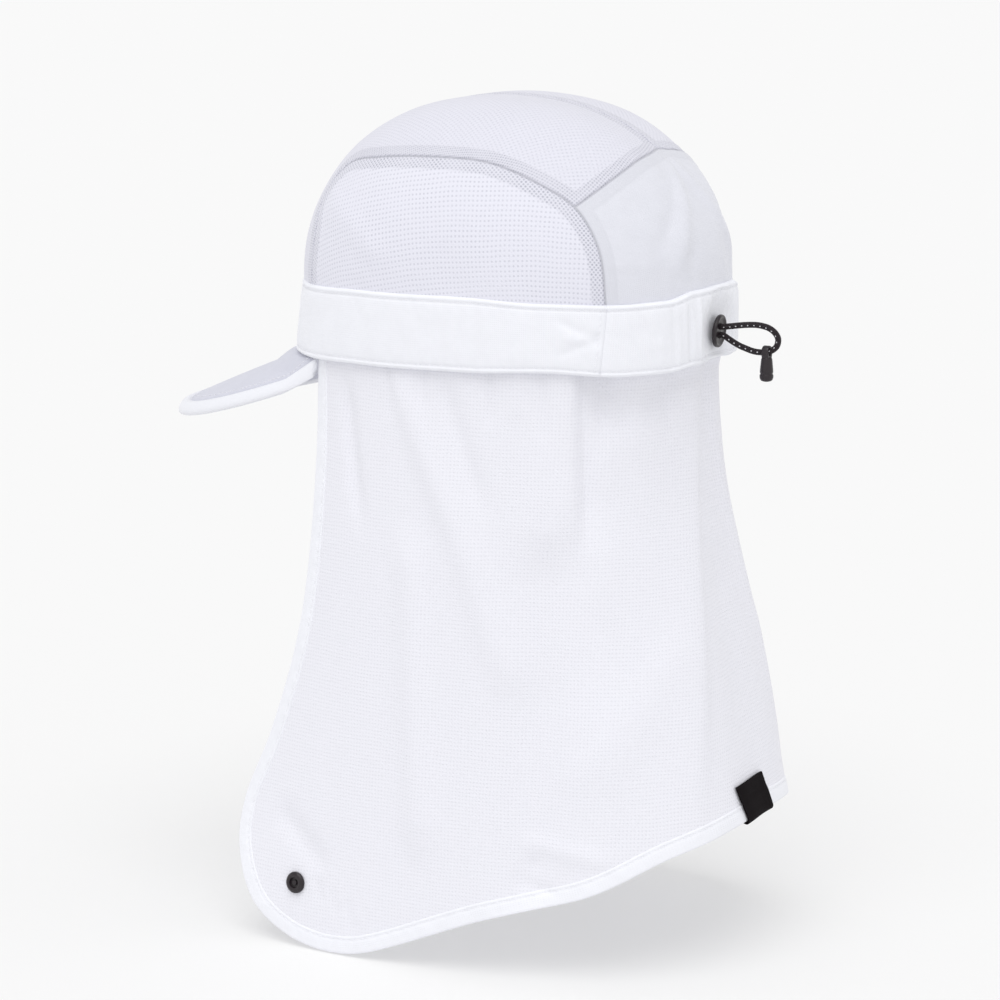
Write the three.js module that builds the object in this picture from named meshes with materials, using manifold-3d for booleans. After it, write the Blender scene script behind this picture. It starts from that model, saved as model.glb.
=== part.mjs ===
import * as THREE from 'three';
import { mergeVertices } from 'three/addons/utils/BufferGeometryUtils.js';
import Module from 'manifold-3d';

// Running cap with a sun cape. Millimetres and degrees, +Z up, front at -Y, the wearer's left at +X.
// The origin is the centre of the head opening, level with the band's lower edge.

// Every piece stops this far short of its neighbour.
const GAP = 0.3;
// The crown stands a little higher over the band, whose upper edge waves.
const FOOT_GAP = 0.5;
const HALF_TURN = 180;
const UP = new THREE.Vector3(0, 0, 1);

// Plan outline of the band's outer face: a superellipse, measured from the origin.
const HEAD = { front: 93, rear: 95.5, side: 75, boxiness: 2.36 };

// Band: a folded strip of cloth. The rear stretch is a gathered casing over elastic.
const BAND = {
  wall: 2.4, casingWall: 3.6, casingFull: 165, flare: 4, flarePower: 1.3, seamAngle: 140.6, belly: 0.9,
  edgeRound: 0.6, frontColumns: 52, rearColumns: 32,
};
// Levels of the band's two edges round one side. Angles run from the front to the rear.
const BAND_EDGES = [
  { angle: 0, lower: -1.8, upper: 29.6 },
  { angle: 35, lower: -1.8, upper: 29.6 },
  { angle: 62, lower: -0.7, upper: 31.1 },
  { angle: 100, lower: 0, upper: 31.6 },
  { angle: 125, lower: 1.2, upper: 30 },
  { angle: 145, lower: -0.6, upper: 29.4 },
  { angle: 158, lower: -0.4, upper: 29.9 },
  { angle: 168, lower: 1, upper: 32.6 },
  { angle: 180, lower: 1.5, upper: 33 },
];
// Stations across the band, from the lower edge to the upper, with the shares of its belly, of its rounded
// edges and of the dent that the disc makes.
const BAND_SECTION = [
  { share: 0, belly: 0, round: 1, dent: 0.4 },
  { share: 0.09, belly: 0.7, round: 0, dent: 1 },
  { share: 0.5, belly: 1, round: 0, dent: 1 },
  { share: 0.91, belly: 0.7, round: 0, dent: 0.8 },
  { share: 1, belly: 0, round: 1, dent: 0 },
];
const GATHERS = { pitch: 6.5, depth: 0.6, from: 152, full: 168 };
// Flat dent under the disc, its widths measured along the casing from the midline.
const DENT = { depth: 2.3, flat: 7.6, full: 12.5 };

// Crown: a soft dome standing on the band, seven numbers for its form and a dip along the midline seam.
const CROWN = {
  base: 30, front: 93.4, rear: 94, side: 74.5, height: 82.4, wall: 1.2,
  boxiness: 2.3, topBoxiness: 2.175, domeFront: 2.13, domeSide: 2.38, domeRear: 2.14,
  dip: 0.033, dipSlope: 0.25,
};
// The seam that arches over a side panel, from its front foot to its rear foot.
const ARCH_SEAM = [
  { angle: 36.3, level: 31 },
  { angle: 35.8, level: 50 },
  { angle: 33, level: 67 },
  { angle: 38, level: 80.5 },
  { angle: 55, level: 85.6 },
  { angle: 88, level: 87.2 },
  { angle: 108, level: 85.4 },
  { angle: 124, level: 78.2 },
  { angle: 134.3, level: 69 },
  { angle: 139.4, level: 54 },
  { angle: 141.2, level: 31 },
];
// The seam across the rear, from the arch seam to the midline.
const REAR_SEAM = [
  { angle: 134.3, level: 69 },
  { angle: 141.5, level: 74.8 },
  { angle: 150, level: 80.6 },
  { angle: 162, level: 86.3 },
  { angle: 180, level: 89 },
];
// Shares of the arch seam's length at the side panel's two upper corners, and the facets on each stretch:
// the front leg, the top, the rear leg above the rear seam, and the rear leg below it.
const ARCH_CORNERS = { front: 0.27, rear: 0.72 };
const ARCH_FACETS = { front: 8, top: 12, above: 3, below: 5 };
const REAR_SEAM_FACETS = 8;

// Visor: a padded plate that droops forward and is arched across.
const VISOR = {
  reach: 65.5, halfRoot: 48.5, rootInset: 2, sideStep: 0.8, level: -4.3, droop: 0.375, curl: 0.05, curlReach: 70,
  arch: 14.5, boxiness: 2.48, plate: 3.4, border: 5, edge: 2.4, endReach: 16, endLift: 2, settle: 0.3,
  columns: 36,
};
// Stations from the visor's root to its edge, with the share of the border's padding each has.
const VISOR_SECTION = [
  { share: 0, padding: 0 },
  { share: 0.14, padding: 0 },
  { share: 0.3, padding: 0 },
  { share: 0.5, padding: 0 },
  { share: 0.7, padding: 0 },
  { share: 0.83, padding: 0.2 },
  { share: 0.93, padding: 1 },
  { share: 1, padding: 0 },
];

// Cape: one sheet, sewn inside the band and hanging free round the sides and rear.
const CAPE = {
  top: 6, front: 92.8, side: 72.3, sideFlare: 0.078, rear: 88, rearTuck: 3.2, tuckReach: 7,
  rearFlare: 0.23, flareFrom: 50, flareBlend: 12, straightBy: 240, frontCurl: 0.83, wall: 1.2,
  hemWidth: 8, hemWall: 2, forwardStep: 120, columns: 48, rows: 16, hemColumns: 96,
};
// The cape's free edge on one side, from the temple down the front, round the corner and back along the
// hem. Around is 0 at the rear, 1 at the side, and past 1 it goes forward, one for each forwardStep.
const CAPE_EDGE = [
  { around: 1.565, level: 6 },
  { around: 1.541, level: -45 },
  { around: 1.579, level: -114 },
  { around: 1.7, level: -165 },
  { around: 1.805, level: -196 },
  { around: 1.814, level: -216 },
  { around: 1.72, level: -239.5 },
  { around: 1.534, level: -252.4 },
  { around: 1.3, level: -254.7 },
  { around: 1.061, level: -245.6 },
  { around: 0.806, level: -231.2 },
  { around: 0.532, level: -218.3 },
  { around: 0.322, level: -201.8 },
  { around: 0.16, level: -194.9 },
  { around: 0, level: -193.4 },
];
// Soft folds. Lean is the change of around for each 100 mm down, rise is outward and a valley is negative.
const CAPE_FOLDS = [
  { around: 0.01, lean: 0.115, rise: 1.7, width: 0.075, from: -20, to: -230 },
  { around: 0, lean: 0, rise: -2, width: 0.09, from: -70, to: -230 },
  { around: 0.515, lean: 0.01, rise: -3, width: 0.045, from: 2, to: -120 },
  { around: 0.44, lean: 0.02, rise: 1.6, width: 0.05, from: -2, to: -110 },
  { around: 0.6, lean: 0.03, rise: -3.4, width: 0.1, from: -90, to: -250 },
  { around: 1.14, lean: -0.06, rise: 2.2, width: 0.06, from: -60, to: -215 },
  { around: 1.4, lean: -0.04, rise: -2.6, width: 0.045, from: 0, to: -90 },
];
const FOLD_FADE = 26;

// Snap fastener halves, one in each front corner.
const SNAP = { around: 1.527, level: -227.6, radius: 4.7, height: 1.8, ring: 3.2, recess: 2.3, post: 1.1, sides: 14 };

// Blank woven tab folded over the hem beside the rear.
const LABEL = { offset: 9.5, width: 26, drop: 16.5, slant: 4.2, wall: 0.7, under: 9, gap: 0.75, columns: 4 };

// Cord adjuster at the rear of the casing: a two-hole disc, an elastic loop and its pull.
const DISC = {
  level: 13.5, radius: 7, back: 94.9, wall: 1.9, edge: 0.5, rim: 0.9, dish: 0.6, lean: 0.08, turn: -0.07,
  hole: 1.6, holeSpread: 1.85, sides: 20,
};
const CORD = { radius: 1.3, sides: 8, steps: 39 };
// The cord's route from the disc's upper hole round to the lower one.
const CORD_ROUTE = [
  [0, 94.2, 15.35],
  [0, 97.7, 15.35],
  [0, 101.3, 15.8],
  [0.1, 104.4, 16.3],
  [0.2, 107.3, 16.7],
  [0.3, 110.3, 17],
  [0.3, 113.1, 17.1],
  [0.3, 116, 16.8],
  [0.3, 118.9, 16],
  [0.3, 121.4, 14.3],
  [0.2, 122.8, 11.8],
  [0.1, 122.3, 8.9],
  [0, 120.3, 6.9],
  [0, 117.7, 5.9],
  [0, 113.9, 5.6],
  [0, 110.8, 6],
  [0, 108.1, 6.8],
  [0, 105.4, 7.7],
  [0, 102.8, 8.9],
  [0, 100.3, 10.3],
  [0, 97.7, 11.65],
  [0, 94.2, 11.65],
];
// Pull: a flat eye across the cord above a round body. Rows of the body's radius and level.
const PULL = { at: 117.7, eye: 5.9, hole: 1.6, eyeRadius: 2.75, eyeWall: 2.2, eyeFoot: 1.2, sides: 14 };
const PULL_BODY = [
  { radius: 0, level: -6.6 },
  { radius: 1.7, level: -6.4 },
  { radius: 2.6, level: -5.4 },
  { radius: 2.85, level: -4 },
  { radius: 2.55, level: -3.3 },
  { radius: 2.75, level: -2.6 },
  { radius: 2.3, level: 1 },
  { radius: 1.9, level: 3 },
  { radius: 0, level: 3.2 },
];

const COLOURS = {
  top: '#e9e9f1', mesh: '#ededf4', woven: '#f0f0f6', cape: '#eff0f5', black: '#2a2629', cord: '#242225',
};

// Small helpers for numbers.
const toRadians = (degrees) => degrees * Math.PI / HALF_TURN;
const clamp01 = (value) => Math.min(1, Math.max(0, value));
const mix = (from, to, share) => from + (to - from) * share;
const smooth = (value) => {
  const share = clamp01(value);
  return share * share * (3 - 2 * share);
};
const signedPower = (value, exponent) => Math.sign(value) * Math.abs(value) ** exponent;

// Reads one column of a table of rows at a key, with smooth passage from row to row.
function readTable(rows, key, column, at) {
  const next = rows.findIndex((row) => row[key] >= at);
  if (next <= 0) {
    return rows[next === 0 ? 0 : rows.length - 1][column];
  }
  const before = rows[next - 1];
  const share = (at - before[key]) / (rows[next][key] - before[key]);
  return mix(before[column], rows[next][column], smooth(share));
}

// Distance from the axis to a superellipse, in the direction of a front angle.
function outlineRadius(angle, front, rear, side, boxiness) {
  const across = Math.abs(Math.sin(toRadians(angle)));
  const along = Math.cos(toRadians(angle));
  const length = along > 0 ? front : rear;
  return ((across / side) ** boxiness + (Math.abs(along) / length) ** boxiness) ** (-1 / boxiness);
}

// Point at a front angle, a distance from the axis and a level.
function polarPoint(angle, radius, level) {
  return new THREE.Vector3(radius * Math.sin(toRadians(angle)), -radius * Math.cos(toRadians(angle)), level);
}

// Signed volume of a triangle mesh, positive when its faces point out.
function signedVolume(positions, triangles) {
  const corner = (index) => new THREE.Vector3().fromArray(positions, 3 * index);
  let volume = 0;
  for (let i = 0; i < triangles.length; i += 3) {
    const [a, b, c] = [corner(triangles[i]), corner(triangles[i + 1]), corner(triangles[i + 2])];
    volume += a.dot(b.cross(c)) / 6;
  }
  return volume;
}

// Closed sheet of cloth from two equal grids of points: its outer face, its inner face and four rims.
function sheetSolid(outer, inner) {
  const rows = outer.length;
  const columns = outer[0].length;
  const positions = [...outer.flat(), ...inner.flat()].flatMap((point) => point.toArray());
  const at = (face, row, column) => face * rows * columns + row * columns + column;
  const triangles = [];
  const quad = (a, b, c, d) => triangles.push(a, b, c, a, c, d);
  for (let row = 0; row < rows - 1; row++) {
    for (let column = 0; column < columns - 1; column++) {
      const corners = [[row, column], [row, column + 1], [row + 1, column + 1], [row + 1, column]];
      quad(...corners.map(([r, c]) => at(0, r, c)));
      quad(...corners.reverse().map(([r, c]) => at(1, r, c)));
    }
  }
  for (let column = 0; column < columns - 1; column++) {
    quad(at(0, 0, column), at(1, 0, column), at(1, 0, column + 1), at(0, 0, column + 1));
    const last = rows - 1;
    quad(at(0, last, column + 1), at(1, last, column + 1), at(1, last, column), at(0, last, column));
  }
  for (let row = 0; row < rows - 1; row++) {
    quad(at(0, row + 1, 0), at(1, row + 1, 0), at(1, row, 0), at(0, row, 0));
    const last = columns - 1;
    quad(at(0, row, last), at(1, row, last), at(1, row + 1, last), at(0, row + 1, last));
  }
  if (signedVolume(positions, triangles) < 0) {
    triangles.reverse();
  }
  const geometry = new THREE.BufferGeometry();
  geometry.setAttribute('position', new THREE.Float32BufferAttribute(positions, 3));
  geometry.setIndex(triangles);
  return geometry;
}

// Grid of points from a function of two shares, row by row.
function pointGrid(rows, columns, pointAt) {
  return Array.from({ length: rows + 1 }, (_, row) => (
    Array.from({ length: columns + 1 }, (__, column) => pointAt(column / columns, row / rows))
  ));
}

// Named mesh with its own material.
function piece(name, geometry, colour, roughness = 0.85) {
  geometry.computeVertexNormals();
  const material = new THREE.MeshStandardMaterial({ color: colour, roughness, metalness: 0 });
  const mesh = new THREE.Mesh(geometry, material);
  mesh.name = name;
  return mesh;
}

// Solids for cuts: one from a three.js geometry, and the geometry back.
const wasm = await Module();
wasm.setup();
function toSolid(geometry) {
  const bare = geometry.clone();
  bare.deleteAttribute('normal');
  bare.deleteAttribute('uv');
  const merged = mergeVertices(bare, 1e-4);
  const vertProperties = new Float32Array(merged.attributes.position.array);
  const triVerts = new Uint32Array(merged.index.array);
  return new wasm.Manifold(new wasm.Mesh({ numProp: 3, vertProperties, triVerts }));
}
function toGeometry(solid) {
  const mesh = solid.getMesh();
  const geometry = new THREE.BufferGeometry();
  geometry.setAttribute('position', new THREE.Float32BufferAttribute(mesh.vertProperties, 3));
  geometry.setIndex([...mesh.triVerts]);
  return geometry;
}

// Level of the band's lower or upper edge at a front angle.
function bandEdge(angle, column) {
  return readTable(BAND_EDGES, 'angle', column, Math.abs(angle));
}

// Outward ripple of the gathered casing.
function gatherDepth(angle) {
  const turn = Math.abs(angle);
  const strength = smooth((turn - GATHERS.from) / (GATHERS.full - GATHERS.from));
  return GATHERS.depth * strength * Math.cos(2 * Math.PI * turn / GATHERS.pitch);
}

// Wall of the band, which thickens from the seams to the middle of the gathered casing.
function bandWall(angle) {
  const gathered = smooth((Math.abs(angle) - BAND.seamAngle) / (BAND.casingFull - BAND.seamAngle));
  return mix(BAND.wall, BAND.casingWall, gathered);
}

// Share of the disc's dent at a front angle, flat at the midline.
function dentShare(angle) {
  const away = toRadians(HALF_TURN - Math.abs(angle)) * HEAD.rear;
  return 1 - smooth((away - DENT.flat) / (DENT.full - DENT.flat));
}

// Band: one open strip between two front angles, counted on through the rear past a half turn.
function bandStrip(from, to, columns) {
  const pointAt = (inset) => (alongShare, station) => {
    const turned = mix(from, to, alongShare);
    const angle = turned > HALF_TURN ? turned - 2 * HALF_TURN : turned;
    const { share, belly, round, dent } = BAND_SECTION[station];
    const front = HEAD.front + BAND.flare * (1 - share) ** BAND.flarePower;
    const outer = outlineRadius(angle, front, HEAD.rear, HEAD.side, HEAD.boxiness);
    const dented = dentShare(angle);
    const swell = belly * (1 - dented) * (BAND.belly + gatherDepth(angle)) - dent * dented * DENT.depth;
    const side = inset ? -bandWall(angle) + round * BAND.edgeRound : swell - round * BAND.edgeRound;
    const level = mix(bandEdge(angle, 'lower'), bandEdge(angle, 'upper'), share);
    return polarPoint(angle, outer + side, level);
  };
  const face = (inset) => BAND_SECTION.map((_, station) => (
    Array.from({ length: columns + 1 }, (__, column) => pointAt(inset)(column / columns, station))
  ));
  return sheetSolid(face(false), face(true));
}
function bandPieces() {
  const slit = GAP / 2;
  const seam = BAND.seamAngle;
  return [
    piece('band_front', bandStrip(-seam + slit, seam - slit, BAND.frontColumns), COLOURS.woven),
    piece(
      'band_rear_casing',
      bandStrip(seam + slit, 2 * HALF_TURN - seam - slit, BAND.rearColumns),
      COLOURS.woven,
    ),
  ];
}

// Crown surface: distance from the crown's centre in a direction, a rounded dome with a dip at the midline.
function crownRadius(direction) {
  const { x, y, z } = direction;
  const boxiness = mix(CROWN.boxiness, CROWN.topBoxiness, z * z);
  const length = y < 0 ? CROWN.front : CROWN.rear;
  const plan = Math.abs(x / CROWN.side) ** boxiness + Math.abs(y / length) ** boxiness;
  const facing = -y / Math.max(Math.hypot(x, y), 1e-6);
  const dome = mix(CROWN.domeSide, facing > 0 ? CROWN.domeFront : CROWN.domeRear, facing * facing);
  const slope = x / Math.max(z, 1e-3) / CROWN.dipSlope;
  const height = CROWN.height * (1 - CROWN.dip * Math.exp(-slope * slope));
  return (plan ** (dome / boxiness) + Math.abs(z / height) ** dome) ** (-1 / dome);
}
function crownDirection(angle, elevation) {
  const flat = Math.cos(elevation);
  return new THREE.Vector3(
    flat * Math.sin(toRadians(angle)), -flat * Math.cos(toRadians(angle)), Math.sin(elevation),
  );
}

// Direction of the crown's point at a front angle and a level.
function crownAtLevel(angle, level) {
  let low = -0.3;
  let high = Math.PI / 2;
  for (let step = 0; step < 40; step++) {
    const middle = (low + high) / 2;
    const direction = crownDirection(angle, middle);
    if (CROWN.base + crownRadius(direction) * direction.z < level) {
      low = middle;
    } else {
      high = middle;
    }
  }
  return crownDirection(angle, low);
}

// Point on the crown, sunk along the surface's normal.
function crownPoint(direction, depth) {
  const place = (d) => d.clone().normalize().multiplyScalar(crownRadius(d.clone().normalize()));
  const centre = place(direction);
  const step = 0.004;
  const sideways = new THREE.Vector3(0, 0, 1).cross(direction);
  const across = sideways.lengthSq() < 1e-6 ? new THREE.Vector3(1, 0, 0) : sideways.normalize();
  const along = direction.clone().cross(across).normalize();
  const slopeAcross = place(direction.clone().addScaledVector(across, step)).sub(centre);
  const slopeAlong = place(direction.clone().addScaledVector(along, step)).sub(centre);
  const normal = slopeAcross.cross(slopeAlong).normalize();
  if (normal.dot(direction) < 0) {
    normal.negate();
  }
  return centre.addScaledVector(normal, -depth).add(new THREE.Vector3(0, 0, CROWN.base));
}

// A seam as a smooth curve in front angle and level, read at a share of its length.
function seamCurve(rows) {
  const millimetresPerDegree = 1.4;
  const curve = new THREE.CatmullRomCurve3(
    rows.map(({ angle, level }) => new THREE.Vector3(angle * millimetresPerDegree, level, 0)), false, 'centripetal',
  );
  return (share) => {
    const point = curve.getPointAt(clamp01(share));
    return crownAtLevel(point.x / millimetresPerDegree, point.y);
  };
}
const archSeam = seamCurve(ARCH_SEAM);
const rearSeam = seamCurve(REAR_SEAM);

// Share of the arch seam's length at which the rear seam meets it.
function archJunction() {
  const target = rearSeam(0);
  const shares = Array.from({ length: 401 }, (_, index) => 0.5 + index / 800);
  const away = (share) => archSeam(share).distanceTo(target);
  return shares.reduce((best, share) => (away(share) < away(best) ? share : best));
}
const JUNCTION = archJunction();

// Shares of the arch seam's length at the panels' shared corners, one for each facet.
function archStations() {
  const stretch = (from, to, facets) => Array.from({ length: facets }, (_, index) => mix(from, to, index / facets));
  return [
    ...stretch(0, ARCH_CORNERS.front, ARCH_FACETS.front),
    ...stretch(ARCH_CORNERS.front, ARCH_CORNERS.rear, ARCH_FACETS.top),
    ...stretch(ARCH_CORNERS.rear, JUNCTION, ARCH_FACETS.above),
    ...stretch(JUNCTION, 1, ARCH_FACETS.below),
    1,
  ];
}
const ARCH_STATIONS = archStations();
const FACETS_TO_REAR_CORNER = ARCH_FACETS.front + ARCH_FACETS.top;
const FACETS_TO_JUNCTION = FACETS_TO_REAR_CORNER + ARCH_FACETS.above;
const FACETS_TO_FOOT = FACETS_TO_JUNCTION + ARCH_FACETS.below;

// The crown's lower edge, just above the band.
function crownFoot(angle) {
  const wrapped = angle > HALF_TURN ? angle - 2 * HALF_TURN : angle;
  return crownAtLevel(wrapped, bandEdge(wrapped, 'upper') + FOOT_GAP);
}

// Direction inside a patch with four border curves, a Coons patch, kept a little inside its borders.
function patchDirection(borders, across, along, margin) {
  const { lower, upper, first, last } = borders;
  const u = mix(margin.across, 1 - margin.across, across);
  const v = mix(margin.along, 1 - margin.along, along);
  const point = new THREE.Vector3();
  point.addScaledVector(lower(u), 1 - v).addScaledVector(upper(u), v);
  point.addScaledVector(first(v), 1 - u).addScaledVector(last(v), u);
  point.addScaledVector(lower(0), -(1 - u) * (1 - v)).addScaledVector(lower(1), -u * (1 - v));
  point.addScaledVector(upper(0), -(1 - u) * v).addScaledVector(upper(1), -u * v);
  return point.normalize();
}

// Solid cloth panel of the crown. Mirrored turns it to the wearer's right.
function crownPanel({ borders, rows, columns, margin }, mirrored = false) {
  const face = (depth) => pointGrid(rows, columns, (across, along) => {
    const point = crownPoint(patchDirection(borders, across, along, margin), depth);
    return mirrored ? point.setX(-point.x) : point;
  });
  return sheetSolid(face(0), face(CROWN.wall));
}

const ARCH_FOOT = { front: ARCH_SEAM[0].angle, rear: ARCH_SEAM[ARCH_SEAM.length - 1].angle };

// Arch seam at a count of facets from its front foot, its two feet brought to the band's upper edge.
function archBorder(facet) {
  if (facet <= 0) {
    return crownFoot(ARCH_FOOT.front);
  }
  if (facet >= FACETS_TO_FOOT) {
    return crownFoot(ARCH_FOOT.rear);
  }
  const whole = Math.floor(facet);
  return archSeam(mix(ARCH_STATIONS[whole], ARCH_STATIONS[whole + 1], facet - whole));
}
function midlineBorder(share) {
  const start = crownFoot(0);
  const end = rearSeam(1);
  const from = Math.atan2(start.z, -start.y);
  const to = Math.atan2(end.z, -end.y);
  return crownDirection(0, mix(from, to, share));
}
const TOP_BORDERS = {
  lower: (u) => crownFoot(ARCH_FOOT.front * u),
  upper: (u) => rearSeam(1 - u),
  first: midlineBorder,
  last: (v) => archBorder(FACETS_TO_JUNCTION * v),
};
const SIDE_BORDERS = {
  lower: (u) => crownFoot(mix(ARCH_FOOT.front, ARCH_FOOT.rear, u)),
  upper: (u) => archBorder(mix(ARCH_FACETS.front, FACETS_TO_REAR_CORNER, u)),
  first: (v) => archBorder(ARCH_FACETS.front * v),
  last: (v) => archBorder(mix(FACETS_TO_FOOT, FACETS_TO_REAR_CORNER, v)),
};
const mirrorDirection = (direction) => direction.setX(-direction.x);
const BACK_BORDERS = {
  lower: (u) => crownFoot(mix(ARCH_FOOT.rear, 2 * HALF_TURN - ARCH_FOOT.rear, u)),
  upper: (u) => (u < 0.5 ? rearSeam(2 * u) : mirrorDirection(rearSeam(2 - 2 * u))),
  first: (v) => archBorder(mix(FACETS_TO_FOOT, FACETS_TO_JUNCTION, v)),
  last: (v) => mirrorDirection(archBorder(mix(FACETS_TO_FOOT, FACETS_TO_JUNCTION, v))),
};

// The crown's three shapes of panel. Margins are shares of a panel's width and height.
const TOP_PANEL = {
  borders: TOP_BORDERS, rows: FACETS_TO_JUNCTION, columns: REAR_SEAM_FACETS, margin: { across: 0.0026, along: 0.001 },
};
const SIDE_PANEL = {
  borders: SIDE_BORDERS, rows: ARCH_FACETS.front, columns: ARCH_FACETS.top, margin: { across: 0.0015, along: 0.003 },
};
const BACK_PANEL = {
  borders: BACK_BORDERS, rows: ARCH_FACETS.below, columns: 2 * REAR_SEAM_FACETS, margin: { across: 0.002, along: 0.004 },
};
function crownPieces() {
  return [
    piece('crown_top_left', crownPanel(TOP_PANEL), COLOURS.top),
    piece('crown_top_right', crownPanel(TOP_PANEL, true), COLOURS.top),
    piece('side_panel_left', crownPanel(SIDE_PANEL), COLOURS.mesh),
    piece('side_panel_right', crownPanel(SIDE_PANEL, true), COLOURS.mesh),
    piece('back_panel', crownPanel(BACK_PANEL), COLOURS.woven),
  ];
}

// The visor's root along the band, its inset measured from the band's outer face, and the root's two ends.
const VISOR_FRONT = HEAD.front + BAND.flare;
function visorRoot(turn, inset) {
  const power = 2 / HEAD.boxiness;
  return new THREE.Vector2(
    (HEAD.side - inset) * signedPower(Math.sin(turn), power), -(VISOR_FRONT - inset) * Math.cos(turn) ** power,
  );
}
const VISOR_END = visorRoot(toRadians(VISOR.halfRoot), 0);

// The visor's outline in plan, its columns spread evenly along it.
function visorOutline() {
  const fine = 2000;
  const power = 2 / VISOR.boxiness;
  const length = VISOR.reach + VISOR_FRONT + VISOR_END.y;
  const points = Array.from({ length: fine + 1 }, (_, index) => {
    const sweep = Math.PI * (index / fine - 0.5);
    const x = (VISOR_END.x + VISOR.sideStep) * signedPower(Math.sin(sweep), power);
    return new THREE.Vector2(x, VISOR_END.y - length * Math.abs(Math.cos(sweep)) ** power);
  });
  const run = [0];
  points.slice(1).forEach((point, index) => run.push(run[index] + point.distanceTo(points[index])));
  return Array.from({ length: VISOR.columns + 1 }, (_, column) => {
    const target = run[fine] * column / VISOR.columns;
    return points[Math.max(0, run.findIndex((reached) => reached >= target - 1e-6))];
  });
}
const VISOR_OUTLINE = visorOutline();

// Visor: from the band's lower edge out to a rounded outline, drooping forward and arched across.
function visorPoint(column, station, underside) {
  const { share, padding } = VISOR_SECTION[station];
  const turn = toRadians(VISOR.halfRoot) * (2 * column / VISOR.columns - 1);
  const { x, y } = visorRoot(turn, VISOR.rootInset).lerp(VISOR_OUTLINE[column], share);
  const forward = -VISOR_FRONT - y;
  const droop = VISOR.droop * forward + VISOR.curl * Math.max(forward, 0) ** 2 / VISOR.curlReach;
  const drooped = VISOR.level - droop - VISOR.arch * (x / VISOR_END.x) ** 2;
  const rootLevel = bandEdge(Math.atan2(x, -y) * HALF_TURN / Math.PI, 'lower') - GAP;
  const inFront = clamp01((VISOR_END.y - y) / VISOR.endReach);
  const settled = mix(share, smooth(share / VISOR.settle), inFront);
  const level = mix(rootLevel, drooped + VISOR.endLift * (1 - inFront) ** 2, settled);
  const thickness = mix(VISOR.plate, VISOR.border, padding);
  const rounded = share === 1 ? (VISOR.border - VISOR.edge) / 2 : 0;
  const side = underside ? rounded - (rounded ? VISOR.border : thickness) : -rounded;
  return new THREE.Vector3(x, y, level + side);
}
function visorPiece() {
  const face = (underside) => VISOR_SECTION.map((_, station) => (
    Array.from({ length: VISOR.columns + 1 }, (__, column) => visorPoint(column, station, underside))
  ));
  return piece('visor', sheetSolid(face(false), face(true)), COLOURS.woven);
}

// Half-sizes of the cape's plan section at a level.
function capeSection(level) {
  const down = Math.max(0, -level);
  const tuck = CAPE.rearTuck * Math.exp(-(((CAPE.top - level) / CAPE.tuckReach) ** 2));
  const hinge = CAPE.flareBlend * Math.log1p(Math.exp((down - CAPE.flareFrom) / CAPE.flareBlend));
  return {
    side: CAPE.side + CAPE.sideFlare * down,
    rear: CAPE.rear + tuck + CAPE.rearFlare * hinge,
    curl: 1 - CAPE.frontCurl * clamp01(down / CAPE.straightBy),
  };
}

// Point on the smooth cape, before its folds.
function smoothCapePoint(around, level) {
  const hand = Math.sign(around) || 1;
  const reach = Math.abs(around);
  const { side, rear, curl } = capeSection(level);
  if (reach <= 1) {
    const angle = HALF_TURN - 90 * reach;
    const radius = outlineRadius(angle, rear, rear, side, HEAD.boxiness);
    return polarPoint(hand * angle, radius, level);
  }
  const forward = (reach - 1) * CAPE.forwardStep;
  const bend = curl * (forward / CAPE.front) ** HEAD.boxiness;
  const x = side * Math.max(0.05, 1 - bend) ** (1 / HEAD.boxiness);
  return new THREE.Vector3(hand * x, -forward, level);
}

// Outward rise of the folds at a place on the cape.
function foldRise(around, level) {
  return CAPE_FOLDS.reduce((sum, fold) => {
    const centre = fold.around + fold.lean * Math.max(0, -level) / 100;
    const away = (Math.abs(around) - centre) / fold.width;
    const start = smooth((fold.from - level) / FOLD_FADE);
    const finish = smooth((level - fold.to) / FOLD_FADE);
    return sum + fold.rise * Math.exp(-away * away) * start * finish;
  }, 0);
}

// Point on the cape, moved out along the section's normal.
function capePoint(around, level, out = 0) {
  const step = 0.01;
  const before = smoothCapePoint(around - step, level);
  const after = smoothCapePoint(around + step, level);
  const tangent = after.sub(before);
  const normal = new THREE.Vector3(tangent.y, -tangent.x, 0).normalize();
  const point = smoothCapePoint(around, level);
  if (normal.dot(new THREE.Vector3(point.x, Math.max(point.y, 0), 0)) < 0) {
    normal.negate();
  }
  return point.addScaledVector(normal, foldRise(around, level) + out);
}

// The cape's whole free edge, from the left temple round to the right one.
const edgeRows = [...CAPE_EDGE, ...CAPE_EDGE.slice(0, -1).reverse().map(({ around, level }) => (
  { around: -around, level }
))];
const edgeCurve = new THREE.CatmullRomCurve3(
  edgeRows.map(({ around, level }) => new THREE.Vector3(around * CAPE.forwardStep, level, 0)), false, 'centripetal',
);

// Place on the cape at a share of its free edge, a distance inward from that edge.
function edgePlace(share, inset) {
  const at = edgeCurve.getPointAt(clamp01(share));
  const run = edgeCurve.getTangentAt(clamp01(share));
  const around = at.x / CAPE.forwardStep;
  const level = at.y;
  const step = 0.01;
  const point = capePoint(around, level);
  const perAround = capePoint(around + step, level).sub(point).divideScalar(step);
  const perLevel = capePoint(around, level + step).sub(point).divideScalar(step);
  const tangent = perAround.clone().multiplyScalar(run.x / CAPE.forwardStep).addScaledVector(perLevel, run.y);
  const normal = perAround.clone().cross(perLevel).normalize();
  const inward = tangent.cross(normal).normalize();
  const [aa, al, ll] = [perAround.dot(perAround), perAround.dot(perLevel), perLevel.dot(perLevel)];
  const [ia, il] = [inward.dot(perAround), inward.dot(perLevel)];
  const scale = inset / (aa * ll - al * al);
  return { around: around + scale * (ia * ll - il * al), level: level + scale * (il * aa - ia * al) };
}

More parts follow.
